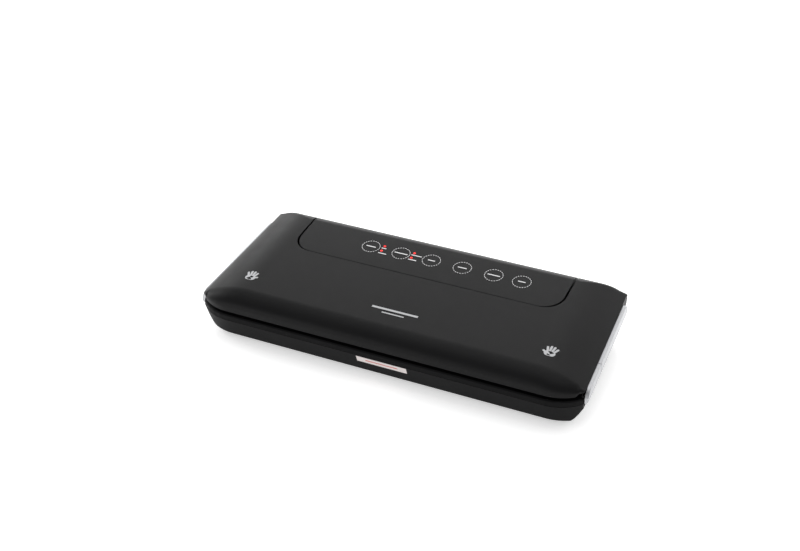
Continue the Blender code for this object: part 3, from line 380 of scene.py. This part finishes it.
def strip_ring(u, inner, outer, steps=6):
    """Section of a side strip: flat face, rounded upper edge and a lower part tucked in."""
    gap = max(0.0, STRIP_ROUND - min(u - STRIP_FIRST, STRIP_LAST - u)) / STRIP_ROUND
    share = max(sqrt(max(1 - gap ** 2, 0.0)), 0.3)
    middle = strip_level(u) - STRIP_HEIGHT / 2
    half = STRIP_HEIGHT / 2 * share
    x0 = narrow(HALF, u) + inner
    x1 = narrow(HALF, u) + outer
    tuck = min(2.2 * mm, (x1 - x0) * 0.7)
    points = [(x0, middle - half), (x1 - tuck - 0.3 * mm, middle - half)]
    bend = middle - half * 0.3
    points += [(x1 - tuck, middle - half + 0.3 * mm), (x1 - 0.25 * mm, bend - 0.4 * mm),
               (x1 - 0.06 * mm, bend + 0.1 * mm)]
    points += [(x1, bend + 0.8 * mm)]
    crest = 1 * mm
    for a in even(0, pi / 2, steps):
        points.append((x1 - crest + crest * cos(a), middle + half - crest + crest * sin(a)))
    return points + [(x0, middle + half)]


def strip(side, start, end):
    places = even(start, end, 24)
    places += [STRIP_FIRST + STRIP_ROUND * (1 - cos(pi / 24 * i)) for i in range(1, 12)]
    places += [STRIP_LAST - STRIP_ROUND * (1 - cos(pi / 24 * i)) for i in range(1, 12)]
    rings = []
    for u in sorted({round(place, 6) for place in places if start <= place <= end}):
        rings.append([(side * x, u, w) for x, w in strip_ring(u, GAP, STRIP_FACE)])
    return add_rings(bmesh.new(), rings)


def strip_pocket(side):
    """Recess in the side wall that the release button is pushed into."""
    rings = []
    for u in even(STRIP_FIRST - GAP, STRIP_SPLIT + GAP, 16):
        ring = strip_ring(max(u, STRIP_FIRST), -3.1 * mm, 8 * mm)
        middle = strip_level(u) - STRIP_HEIGHT / 2
        rings.append([(side * x, u, w + (0.6 * mm if w > middle else -0.6 * mm)) for x, w in ring])
    return add_rings(bmesh.new(), rings)


# Finishes

def linear(code):
    """Linear colour from a six-digit sRGB hex code."""
    values = [int(code[i:i + 2], 16) / 255 for i in (0, 2, 4)]
    return (*[v / 12.92 if v <= 0.04045 else ((v + 0.055) / 1.055) ** 2.4 for v in values], 1)


def add_node(tree, kind, settings=None, **links):
    """Add a node, set its properties and its unlinked inputs, and link the rest."""
    made = tree.nodes.new(kind)
    for name, value in (settings or {}).items():
        if name in made.bl_rna.properties:
            setattr(made, name, value)
        else:
            made.inputs[name].default_value = value
    for name, source in links.items():
        tree.links.new(source, made.inputs[name.replace("_", " ")])
    return made


def start_material(name, color, roughness, metallic=0.0, ior=1.5, coat=0.0, sheen=0.0, gloss=0.5):
    material = bpy.data.materials.new(name)
    material.use_nodes = True
    tree = material.node_tree
    shader = tree.nodes["Principled BSDF"]
    shader.inputs["Base Color"].default_value = linear(color)
    shader.inputs["Roughness"].default_value = roughness
    shader.inputs["Metallic"].default_value = metallic
    if not metallic:
        shader.inputs["IOR"].default_value = ior
    shader.inputs["Specular IOR Level"].default_value = gloss
    shader.inputs["Coat Weight"].default_value = coat
    shader.inputs["Sheen Weight"].default_value = sheen
    place = add_node(tree, "ShaderNodeTexCoord").outputs["Object"]
    return material, tree, shader, place


def vary_color(tree, shader, source, low, high, first=0.3, last=0.7):
    ramp = add_node(tree, "ShaderNodeValToRGB", Fac=source)
    ramp.color_ramp.elements[0].position = first
    ramp.color_ramp.elements[1].position = last
    ramp.color_ramp.elements[0].color = linear(low)
    ramp.color_ramp.elements[1].color = linear(high)
    tree.links.new(ramp.outputs["Color"], shader.inputs["Base Color"])


def vary_roughness(tree, shader, source, low, high):
    spread_out = add_node(tree, "ShaderNodeMapRange", {"To Min": low, "To Max": high}, Value=source)
    tree.links.new(spread_out.outputs["Result"], shader.inputs["Roughness"])


def roughen(tree, shader, source, depth, strength=1.0):
    bump = add_node(tree, "ShaderNodeBump", {"Distance": depth, "Strength": strength}, Height=source)
    tree.links.new(bump.outputs["Normal"], shader.inputs["Normal"])


def noise(tree, place, size, detail=2.0, stretch=None):
    """Noise with features about `size` metres across."""
    if stretch:
        place = add_node(tree, "ShaderNodeMapping", {"Scale": stretch}, Vector=place).outputs["Vector"]
    return add_node(tree, "ShaderNodeTexNoise", {"Scale": 1 / size, "Detail": detail},
                    Vector=place).outputs["Fac"]


def moulded_plastic(name, low, high, roughness, grain=0.5 * mm, depth=0.012 * mm, gloss=0.5):
    """Injection-moulded ABS: an even colour, a fine spark-eroded grain and slight changes of gloss."""
    material, tree, shader, place = start_material(name, high, roughness, gloss=gloss)
    cloud = noise(tree, place, 45 * mm, 3.0)
    vary_color(tree, shader, cloud, low, high)
    vary_roughness(tree, shader, noise(tree, place, 14 * mm, 4.0), roughness - 0.05, roughness + 0.05)
    roughen(tree, shader, noise(tree, place, grain, 1.0), depth)
    return material


def soft_touch(name):
    """ABS with a soft-touch lacquer: deep black, satin, with a velvety grain that spreads reflections."""
    return moulded_plastic(name, "0A0A0B", "0D0D0E", 0.42, 0.45 * mm, 0.008 * mm, 0.14)


def painted_silver(name):
    """Silver paint on ABS: fine metallic flake under a satin clear coat."""
    material, tree, shader, place = start_material(name, "B2B3B5", 0.36, 0.85, coat=0.15)
    shader.inputs["Coat Roughness"].default_value = 0.25
    flake = add_node(tree, "ShaderNodeTexVoronoi", {"Scale": 1 / (0.5 * mm)}, Vector=place).outputs["Color"]
    vary_color(tree, shader, noise(tree, place, 0.6 * mm, 1.0), "A9AAAD", "BDBEC0")
    vary_roughness(tree, shader, flake, 0.28, 0.42)
    roughen(tree, shader, noise(tree, place, 0.5 * mm, 1.0), 0.004 * mm)
    return material


def printed_ink(name, color, roughness=0.5):
    """Pad-printed ink: slightly uneven cover over the grain below it."""
    material, tree, shader, place = start_material(name, color, roughness)
    vary_roughness(tree, shader, noise(tree, place, 0.8 * mm), roughness - 0.08, roughness + 0.08)
    roughen(tree, shader, noise(tree, place, 0.4 * mm, 1.0), 0.006 * mm)
    return material


def glowing_lens(name):
    """Clear red polycarbonate lit from behind, brighter in the middle of each lens."""
    material, tree, shader, place = start_material(name, "B01812", 0.2, 0.0, 1.585)
    shader.inputs["Emission Color"].default_value = linear("E8201A")
    glow = add_node(tree, "ShaderNodeMapRange", {"To Min": 0.9, "To Max": 2.2},
                    Value=noise(tree, place, 1.5 * mm))
    tree.links.new(glow.outputs["Result"], shader.inputs["Emission Strength"])
    return material


def foam(name):
    """Closed-cell foam rubber: dull, with small open cells on its skin."""
    material, tree, shader, place = start_material(name, "2B2B2D", 0.95, sheen=0.1)
    cells = add_node(tree, "ShaderNodeTexVoronoi", {"Scale": 1 / (0.7 * mm)},
                     Vector=place).outputs["Distance"]
    vary_color(tree, shader, cells, "1D1D1F", "38383A", 0.1, 0.6)
    roughen(tree, shader, cells, 0.15 * mm)
    return material


def silicone(name):
    """Red-brown silicone rubber: satin, with a dusting that dulls its highlights."""
    material, tree, shader, place = start_material(name, "8C2F24", 0.55, 0.0, 1.41)
    vary_color(tree, shader, noise(tree, place, 6 * mm, 3.0), "7F2A20", "983A2D")
    vary_roughness(tree, shader, noise(tree, place, 3 * mm), 0.45, 0.65)
    roughen(tree, shader, noise(tree, place, 0.6 * mm), 0.01 * mm)
    return material


def glass_cloth(name):
    """PTFE-coated glass cloth: brown, slippery, with its plain weave 0.8 mm apart showing through."""
    material, tree, shader, place = start_material(name, "8A6B45", 0.4, 0.0, 1.36)
    across = add_node(tree, "ShaderNodeTexWave", {"Scale": 390.0, "bands_direction": "X"},
                      Vector=place).outputs["Fac"]
    along = add_node(tree, "ShaderNodeTexWave", {"Scale": 390.0, "bands_direction": "Y"},
                     Vector=place).outputs["Fac"]
    weave = add_node(tree, "ShaderNodeMath", {"operation": "MULTIPLY"})
    tree.links.new(across, weave.inputs[0])
    tree.links.new(along, weave.inputs[1])
    vary_color(tree, shader, weave.outputs["Value"], "775A38", "9C7C53", 0.0, 1.0)
    roughen(tree, shader, weave.outputs["Value"], 0.03 * mm)
    return material


def drawn_steel(name, color="B9BABD", roughness=0.28):
    """Zinc-plated steel: fine drawing lines along X and a cloudy plating."""
    material, tree, shader, place = start_material(name, color, roughness, 1.0)
    lines = noise(tree, place, 0.3 * mm, 2.0, (0.05, 1.0, 1.0))
    vary_roughness(tree, shader, lines, roughness - 0.06, roughness + 0.12)
    vary_color(tree, shader, noise(tree, place, 5 * mm, 3.0), "A9AAAE", "C6C7CA")
    roughen(tree, shader, lines, 0.004 * mm)
    return material


def laminations(name):
    """Transformer steel: varnished sheets 0.5 mm thick, seen edge on."""
    material, tree, shader, place = start_material(name, "4A4A4E", 0.45, 0.7)
    sheets = add_node(tree, "ShaderNodeTexWave", {"Scale": 620.0, "bands_direction": "Y"},
                      Vector=place).outputs["Fac"]
    vary_color(tree, shader, sheets, "333337", "5C5C61", 0.2, 0.8)
    roughen(tree, shader, sheets, 0.08 * mm)
    return material


def winding(name):
    """Enamelled copper wire laid in turns 0.6 mm apart."""
    material, tree, shader, place = start_material(name, "A8552B", 0.3, 0.9)
    turns = add_node(tree, "ShaderNodeTexWave", {"Scale": 520.0, "bands_direction": "Z"},
                     Vector=place).outputs["Fac"]
    vary_color(tree, shader, turns, "7A3517", "C06D3A", 0.1, 0.9)
    roughen(tree, shader, turns, 0.15 * mm)
    return material


def circuit_board(name):
    """Glass-epoxy board under green solder mask, with tracks that read as darker patches."""
    material, tree, shader, place = start_material(name, "15542B", 0.35)
    tracks = add_node(tree, "ShaderNodeTexVoronoi", {"Scale": 1 / (4 * mm), "distance": "MANHATTAN"},
                      Vector=place).outputs["Distance"]
    vary_color(tree, shader, tracks, "0E3D1F", "1C6B38", 0.25, 0.45)
    roughen(tree, shader, tracks, 0.03 * mm)
    return material


def polyimide(name):
    """Flexible sensor film: amber polyimide with a faint ripple."""
    material, tree, shader, place = start_material(name, "B5761C", 0.3, 0.0, 1.7)
    vary_color(tree, shader, noise(tree, place, 9 * mm), "A56A17", "C58427")
    roughen(tree, shader, noise(tree, place, 12 * mm), 0.05 * mm)
    return material


def moulded_rubber(name):
    """Black rubber: dull, with a faint bloom and a fine mould grain."""
    material, tree, shader, place = start_material(name, "19191A", 0.85)
    vary_color(tree, shader, noise(tree, place, 5 * mm, 3.0), "151516", "222223")
    vary_roughness(tree, shader, noise(tree, place, 2 * mm), 0.75, 0.95)
    roughen(tree, shader, noise(tree, place, 0.5 * mm, 1.0), 0.03 * mm)
    return material


lid_black = soft_touch("soft_touch_lacquer")
body_black = moulded_plastic("grained_black_abs", "080809", "0B0B0C", 0.56, gloss=0.09)
inner_black = moulded_plastic("inner_black_abs", "111112", "171719", 0.6, 0.6 * mm, 0.02 * mm, 0.3)
white_acetal = moulded_plastic("white_acetal", "DAD9D3", "E6E5E0", 0.4)
silver = painted_silver("satin_silver_paint")
white_ink = printed_ink("white_pad_print", "E9E9EA")
faint_ink = printed_ink("grey_pad_print", "B9BABC")
red_ink = printed_ink("red_label_print", "C23A34")
label_paper = printed_ink("label_vinyl", "D0C8C6", 0.35)
lens_red = glowing_lens("lit_red_polycarbonate")
foam_black = foam("closed_cell_foam")
silicone_red = silicone("silicone_rubber")
cloth_tape = glass_cloth("ptfe_glass_cloth")
steel = drawn_steel("zinc_plated_steel")
core_steel = laminations("laminated_core_steel")
copper = winding("enamelled_copper")
board_green = circuit_board("solder_masked_board")
sensor_film = polyimide("polyimide_film")
rubber = moulded_rubber("black_rubber")


# Lid

def make_lid():
    """One-piece lid cover: rounded front edge, crowned ends and a hatch around the control housing."""
    lid = to_object("lid_cover", loft(lid_stations(HALF), lid_outer), LID_PLACE)
    carve(lid, [("DIFFERENCE", hatch(HATCH_REACH, HATCH_HALF), LID_PLACE)])
    hollow = to_object("hollow", loft(lid_stations(EDGE_START), lid_inner), LID_PLACE)
    carve(hollow, [("DIFFERENCE", hatch(HATCH_REACH + WALL, HATCH_HALF + WALL, -32 * mm), LID_PLACE)])
    bosses = rod("X", (0, 0), (6.5 * mm, 6.5 * mm), (HATCH_HALF - 2 * mm, HATCH_HALF + 13 * mm))
    rod("X", (0, 0), (6.5 * mm, 6.5 * mm), (-HATCH_HALF - 13 * mm, -HATCH_HALF + 2 * mm), 48, bosses)
    carve(hollow, [("DIFFERENCE", bosses, LID_PLACE)])
    change = lid.modifiers.new("hollow", "BOOLEAN")
    change.object = hollow
    change.operation = "DIFFERENCE"
    change.solver = "EXACT"
    settle(lid)
    bpy.data.objects.remove(hollow, do_unlink=True)
    bores = rod("X", (0, 0), (PIN_RADIUS + GAP, PIN_RADIUS + GAP),
                (HATCH_HALF - 4 * mm, HATCH_HALF + 15 * mm))
    rod("X", (0, 0), (PIN_RADIUS + GAP, PIN_RADIUS + GAP), (-HATCH_HALF - 15 * mm, -HATCH_HALF + 4 * mm),
        48, bores)
    carve(lid, [("DIFFERENCE", bores, LID_PLACE)])
    smooth(ease(lid, 0.3 * mm))
    dress(lid, "lid", "soft_touch_black", lid_black)
    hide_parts("lid_shell")
    return lid


# Control housing

def housing_outer(x):
    reach = PANEL_REACH - housing_setback(x)
    bottom = deck_in_lid(-reach) + GAP
    back = (DRUM - 0.2 * mm) / cos(LID_TILT)
    points = [(-reach, bottom)] + hinge_arc(reach, 2 * mm, DRUM - 1 * mm, 10)
    edge = points[-1][0]
    points += [(edge + 1 * mm * (1 - cos(a)), DRUM - 1 * mm * (1 - sin(a))) for a in even(0, pi / 2, 4)[1:]]
    points += [(DRUM * cos(a), DRUM * sin(a)) for a in even(pi / 2, -LID_TILT, 30)]
    return points + [(back + deck_in_lid(back) * tan(LID_TILT), deck_in_lid(back) + GAP)]


def housing_inner(x):
    half = PANEL_HALF - PANEL_WALL
    reach = PANEL_REACH - PANEL_WALL - housing_setback(x, PANEL_CORNER - PANEL_WALL, half)
    inner = DRUM - PANEL_WALL
    points = [(-reach, -9 * mm)] + hinge_arc(reach, 1 * mm, inner, 10)
    points += [(inner * cos(a), inner * sin(a)) for a in even(pi / 2, -LID_TILT, 30)]
    return points + [(inner, -9 * mm)]


def indicator_places():
    row_shift = DRUM * sin(LID_TILT) - REACH
    return [(x * mm, row * mm + row_shift) for x in (-51.6, -19.9) for row in (125.8, 118.2)]


def make_housing():
    """Fixed cover behind the lid's hatch, with holes for the indicator lenses and hinge pins."""
    cover = to_object("housing_cover", loft(housing_stations(), housing_outer, False), LID_PLACE)
    inner = housing_stations(PANEL_HALF - PANEL_WALL, PANEL_CORNER - PANEL_WALL)
    carve(cover, [("DIFFERENCE", loft(inner, housing_inner, False), LID_PLACE)])
    holes = bmesh.new()
    for place in indicator_places():
        rod("Z", place, (LENS_HOLE, LENS_HOLE), (DRUM - 5 * mm, DRUM + 5 * mm), 32, holes)
    for side in (-1, 1):
        ends = sorted((side * (PANEL_HALF - 6 * mm), side * (PANEL_HALF + 3 * mm)))
        rod("X", (0, 0), (PIN_RADIUS + GAP, PIN_RADIUS + GAP), ends, 48, holes)
    carve(cover, [("DIFFERENCE", holes, LID_PLACE)])
    smooth(ease(cover, EDGE_EASE))
    dress(cover, "base", "black_abs", lid_black)
    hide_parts("control_housing")


# Side strips

def make_strips():
    for name, side in (("left", -1), ("right", 1)):
        button = smooth(to_object("button_" + name, strip(side, STRIP_FIRST, STRIP_SPLIT - STRIP_SEAM),
                                  BODY_PLACE))
        dress(button, "release_" + name, "satin_silver", silver)
        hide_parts("release_button_" + name)
        trim = smooth(to_object("trim_" + name, strip(side, STRIP_SPLIT + STRIP_SEAM, STRIP_LAST),
                                BODY_PLACE))
        dress(trim, "base", "satin_silver", silver)
        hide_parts("side_trim_" + name)


# Printed marks

def lid_top(x, u):
    return DRUM - crown_drop(x / narrow(1, u))


def printed(name, outlines, place, top, height=0.05 * mm):
    """Flat ink shapes laid on a surface; `top` gives the surface's level under each point."""
    shape = bmesh.new()
    for outline in outlines:
        upper = [shape.verts.new((x, u, top(x, u) + height)) for x, u in outline]
        lower = [shape.verts.new((x, u, top(x, u) - height)) for x, u in outline]
        shape.faces.new(upper)
        shape.faces.new(lower[::-1])
        count = len(outline)
        for i in range(count):
            j = (i + 1) % count
            shape.faces.new((upper[j], upper[i], lower[i], lower[j]))
    return to_object(name, shape, place)


def bar(x, u, length, width):
    return [(x - length / 2, u - width / 2), (x + length / 2, u - width / 2),
            (x + length / 2, u + width / 2), (x - length / 2, u + width / 2)]


def capsule(start, end, radius, steps=10):
    """Outline of a straight stroke with round ends."""
    turn = atan2(end[1] - start[1], end[0] - start[0])
    outline = []
    for centre, first in ((end, turn - pi / 2), (start, turn + pi / 2)):
        for a in even(first, first + pi, steps):
            outline.append((centre[0] + radius * cos(a), centre[1] + radius * sin(a)))
    return outline


def from_front(distance):
    """Along position, in the lid frame, of a point on the top face this far behind the front lip."""
    return (distance - REACH) / cos(LID_TILT) + DRUM * tan(LID_TILT)


def key_rings():
    """Dashed rings round the touch keys, repeated by a node group from one dash and one circle."""
    tree = bpy.data.node_groups.new("dashed_rings", "GeometryNodeTree")
    for name, kind in (("Geometry", "Geometry"), ("Ring Radius", "Float"), ("Dash Count", "Int"),
                       ("Dash Size", "Vector"), ("Ink", "Material")):
        tree.interface.new_socket(name, in_out="INPUT", socket_type="NodeSocket" + kind)
    tree.interface.new_socket("Geometry", in_out="OUTPUT", socket_type="NodeSocketGeometry")
    source = add_node(tree, "NodeGroupInput").outputs
    circle = add_node(tree, "GeometryNodeMeshCircle", Vertices=source["Dash Count"],
                      Radius=source["Ring Radius"])
    dash = add_node(tree, "GeometryNodeMeshCube", Size=source["Dash Size"])
    away = add_node(tree, "GeometryNodeInputPosition").outputs["Position"]
    turn = add_node(tree, "FunctionNodeAlignRotationToVector", {"axis": "X"}, Vector=away)
    ring = add_node(tree, "GeometryNodeInstanceOnPoints", Points=circle.outputs["Mesh"],
                    Instance=dash.outputs["Mesh"], Rotation=turn.outputs["Rotation"])
    rings = add_node(tree, "GeometryNodeInstanceOnPoints", Points=source["Geometry"],
                     Instance=ring.outputs["Instances"])
    real = add_node(tree, "GeometryNodeRealizeInstances", Geometry=rings.outputs["Instances"])
    inked = add_node(tree, "GeometryNodeSetMaterial", Geometry=real.outputs["Geometry"],
                     Material=source["Ink"])
    add_node(tree, "NodeGroupOutput", Geometry=inked.outputs["Geometry"])

    shape = bmesh.new()
    for x, _ in KEY_BARS:
        shape.verts.new((x * mm, from_front(KEY_ROW), DRUM))
    marks = to_object("key_rings", shape)
    change = marks.modifiers.new("dashed_rings", "NODES")
    change.node_group = tree
    values = {"Ring Radius": 8.8 * mm, "Dash Count": 22, "Dash Size": (0.55 * mm, 1.5 * mm, 0.1 * mm),
              "Ink": white_ink}
    for socket in tree.interface.items_tree:
        if socket.name in values:
            change[socket.identifier] = values[socket.name]
    settle(marks)
    marks.data.transform(LID_PLACE)
    return dress(marks, "base", "white_acetal", white_ink)


def make_marks():
    """White pad print: key rings and plain bars where a maker would letter the keys and lamps."""
    key_rings()
    level = lambda x, u: DRUM
    row = from_front(KEY_ROW)
    outlines = [bar(x * mm, row, length * mm, KEY_BAR_WIDTH) for x, length in KEY_BARS]
    lamps = ((-50.8, 122.3, 5), (-49.1, 114.2, 8.5), (-16.3, 122.5, 11), (-17.7, 115.1, 8.5))
    outlines += [bar(x * mm, from_front(d * mm), length * mm, LAMP_BAR_WIDTH) for x, d, length in lamps]
    dress(printed("key_bars", outlines, LID_PLACE, level), "base", "white_acetal", white_ink)

    mark = from_front(35.7 * mm)
    outlines = [bar(0, mark + 2 * mm, 46 * mm, 2.4 * mm), bar(0, mark - 3 * mm, 22 * mm, 1.4 * mm)]
    dress(printed("maker_place", outlines, LID_PLACE, lid_top), "lid", "white_acetal", faint_ink)

    centre = from_front(37 * mm)
    fingers = [((-3.6, 0.5), (-5.4, 4.4)), ((-1.4, 1.2), (-2.2, 6.2)), ((0.9, 1.2), (1.0, 6.4)),
               ((3.0, 0.6), (4.2, 4.9)), ((3.4, -2.4), (6.4, -0.6))]
    outlines = []
    for side in (-1, 1):
        place = lambda p: (side * 150.2 * mm - side * p[0] * mm, centre + p[1] * mm)
        outlines.append(capsule(place((-1.7, -2.6)), place((1.9, -2.6)), 3.4 * mm, 16))
        outlines += [capsule(place(a), place(b), 1.05 * mm) for a, b in fingers]
    dress(printed("palm_marks", outlines, LID_PLACE, lid_top), "lid", "white_acetal", faint_ink)


def front_label():
    """White vinyl label with one plain red line, on the sloping front wall."""
    rim = deck_level(-REACH) - SKIRT - GAP
    slope = radians(21)
    for name, xs, heights, lift, ink in (("front_label", (-22, 28), (17, 24), 0.06, label_paper),
                                         ("label_line", (-13, 19), (20, 21), 0.1, red_ink)):
        points = []
        for height, out in ((heights[0], 0.0), (heights[1], 0.0), (heights[1], lift), (heights[0], lift)):
            u = (rim - height * mm) * tan(slope) - REACH
            points.append((u - out * mm * cos(slope), height * mm - out * mm * sin(slope)))
        shape = add_rings(bmesh.new(), [[(x * mm, u, w) for u, w in points] for x in xs])
        dress(to_object(name, shape, BODY_PLACE), "base", "white_acetal", ink)


# Lower body

def coves(radius, inner=HATCH_HALF - GAP):
    shape = bmesh.new()
    for side in (-1, 1):
        ends = sorted((side * inner, side * (HALF + 5 * mm)))
        rod("X", (0, HINGE.z), (radius, radius), ends, 96, shape)
    return shape


def make_base():
    """Body shell: sloping front wall, tucked-in sides, pockets for the release buttons."""
    base = to_object("lower_body", loft(body_stations(BODY_HALF), body_outer), BODY_PLACE)
    carve(base, [("DIFFERENCE", loft(body_stations(BODY_HALF - SIDE_WALL), body_inner), BODY_PLACE)])
    latch = LATCH_ALONG
    catch = HINGE.z + (latch / cos(LID_TILT) - 6.5 * mm) * sin(LID_TILT) - 14 * mm * cos(LID_TILT) - 0.4 * mm
    screws = [(x, u) for x in (-SCREW_AT, SCREW_AT) for u in SCREW_ROWS]
    solids = bmesh.new()
    for place in screws:
        rod("Z", place, (4.5 * mm, 4.5 * mm), (FLOOR + 1 * mm, FLOOR + 13 * mm), 32, solids)
    for side in (-1, 1):
        xs = sorted((side * (POST_AT - POST_LENGTH), side * POST_AT))
        box(xs, (latch - 5 * mm, latch + 5 * mm), (FLOOR + 1 * mm, catch - 5.6 * mm), solids)
    carve(base, [("UNION", solids, BODY_PLACE)])
    holes = bmesh.new()
    seat = FLOOR + 2.4 * mm
    for place in screws:
        rod("Z", place, (3.7 * mm, 3.7 * mm, 2.1 * mm, 2.1 * mm),
            (FLOOR - 2 * mm, seat, seat, FLOOR + 15 * mm), 32, holes)
    rod("Y", INLET_PLACE, (5.3 * mm, 5.3 * mm), (DRUM - 8 * mm, DRUM + 3 * mm), 48, holes)
    for side in (-1, 1):
        xs = sorted((side * (HALF - 12.5 * mm), side * (HALF + 4.5 * mm)))
        box(xs, (latch - 5.5 * mm, latch + 5.5 * mm), (catch - 2.1 * mm, catch + 0.5 * mm), holes)
    carve(base, [("DIFFERENCE", holes, BODY_PLACE)])
    cove = DRUM + 0.6 * mm + 2.2 * mm + GAP
    carve(base, [("DIFFERENCE", coves(cove, HATCH_HALF - 5.1 * mm), BODY_PLACE)])
    for side in (-1, 1):
        carve(base, [("DIFFERENCE", strip_pocket(side), BODY_PLACE)])
    smooth(ease(base, EDGE_EASE))
    dress(base, "base", "black_abs", body_black)
    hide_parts("base_shell")


# Finishes of the parts taken as they are

NODE_FINISH = {
    body_black: ["sealing_deck", "drip_tray"],
    inner_black: ["lid_liner", "latch_hook_left", "latch_hook_right", "heater_bar", "suction_nozzle",
                  "lid_switch", "pump_head"],
    foam_black: ["upper_gasket", "lower_gasket"],
    silicone_red: ["pressure_strip"],
    cloth_tape: ["ptfe_tape"],
    steel: ["heater_strip", "hinge_pin_left", "hinge_pin_right", "latch_spring_left", "latch_spring_right",
            "pump_motor", "pump_crank", "vent_valve", "body_screw_1", "body_screw_2", "body_screw_3",
            "body_screw_4"],
    white_acetal: ["latch_slider_left", "latch_slider_right", "switch_plunger"],
    core_steel: ["transformer_core"],
    copper: ["transformer_coil"],
    board_green: ["power_board", "control_board"],
    sensor_film: ["touch_sensor"],
    rubber: ["foot_1", "foot_2", "foot_3", "foot_4", "vacuum_hose", "cord_inlet"],
    lens_red: ["indicator_1", "indicator_2", "indicator_3", "indicator_4"],
}


def finish_nodes():
    for material, names in NODE_FINISH.items():
        for name in names:
            node = frame["nodes"][name]
            node.data.materials.clear()
            node.data.materials.append(material)


# Floor, lights and camera

def make_floor():
    """Seamless opal sweep, lit a little from below, rising in a wide curve far behind the machine."""
    outline = [(-3.0, 0.0), (1.2, 0.0)]
    outline += [(1.2 + 0.9 * sin(a), 0.9 * (1 - cos(a))) for a in even(0, pi / 2, 24)[1:]]
    outline.append((2.1, 4.0))
    shape = bmesh.new()
    rows = [[shape.verts.new((x, y, z)) for y, z in outline] for x in (-4.5, 4.5)]
    for i in range(len(outline) - 1):
        shape.faces.new((rows[0][i], rows[1][i], rows[1][i + 1], rows[0][i + 1]))
    floor = to_object("sweep", shape)
    floor.data.shade_smooth()
    material, tree, shader, place = start_material("matt_white_sweep", "F7F7F7", 0.9)
    vary_color(tree, shader, noise(tree, place, 0.4), "F5F5F5", "F9F9F9")
    shader.inputs["Emission Color"].default_value = (1, 1, 1, 1)
    shader.inputs["Emission Strength"].default_value = 0.5
    floor.data.materials.append(material)


def soft_box(name, place, target, size, power):
    light = bpy.data.lights.new(name, "AREA")
    light.shape = "RECTANGLE"
    light.size, light.size_y = size
    light.energy = power
    lamp = bpy.data.objects.new(name, light)
    lamp.location = place
    lamp.rotation_euler = (Vector(target) - Vector(place)).to_track_quat("-Z", "Y").to_euler()
    bpy.context.collection.objects.link(lamp)


def light_scene():
    world = bpy.data.worlds.new("studio")
    bpy.context.scene.world = world
    world.use_nodes = True
    background = world.node_tree.nodes["Background"]
    background.inputs["Color"].default_value = (1, 1, 1, 1)
    background.inputs["Strength"].default_value = 0.5
    centre = (0, 0, 0.04)
    soft_box("overhead", (0.1, 0.1, 1.5), centre, (1.6, 1.2), 6)
    soft_box("back_rim", (-0.3, 1.4, 0.5), centre, (2.2, 0.4), 9.5)
    soft_box("left_rim", (-1.4, 0.1, 0.55), centre, (0.5, 1.4), 6)
    soft_box("front_fill", (-0.9, -1.5, 0.35), centre, (1.0, 0.5), 3)


def place_camera():
    lens = bpy.data.cameras.new("camera")
    lens.lens = 60
    lens.sensor_width = 36
    lens.clip_start = 0.05
    camera = bpy.data.objects.new("camera", lens)
    camera.location = (0.4288, -0.96305, 0.7256)
    camera.rotation_euler = Vector((-0.3547, 0.7721, -0.5273)).to_track_quat("-Z", "Y").to_euler()
    bpy.context.collection.objects.link(camera)
    bpy.context.scene.camera = camera


make_lid()
make_housing()
make_strips()
make_base()
make_marks()
front_label()
finish_nodes()
make_floor()
light_scene()
place_camera()
bpy.context.scene.view_settings.view_transform = "Standard"
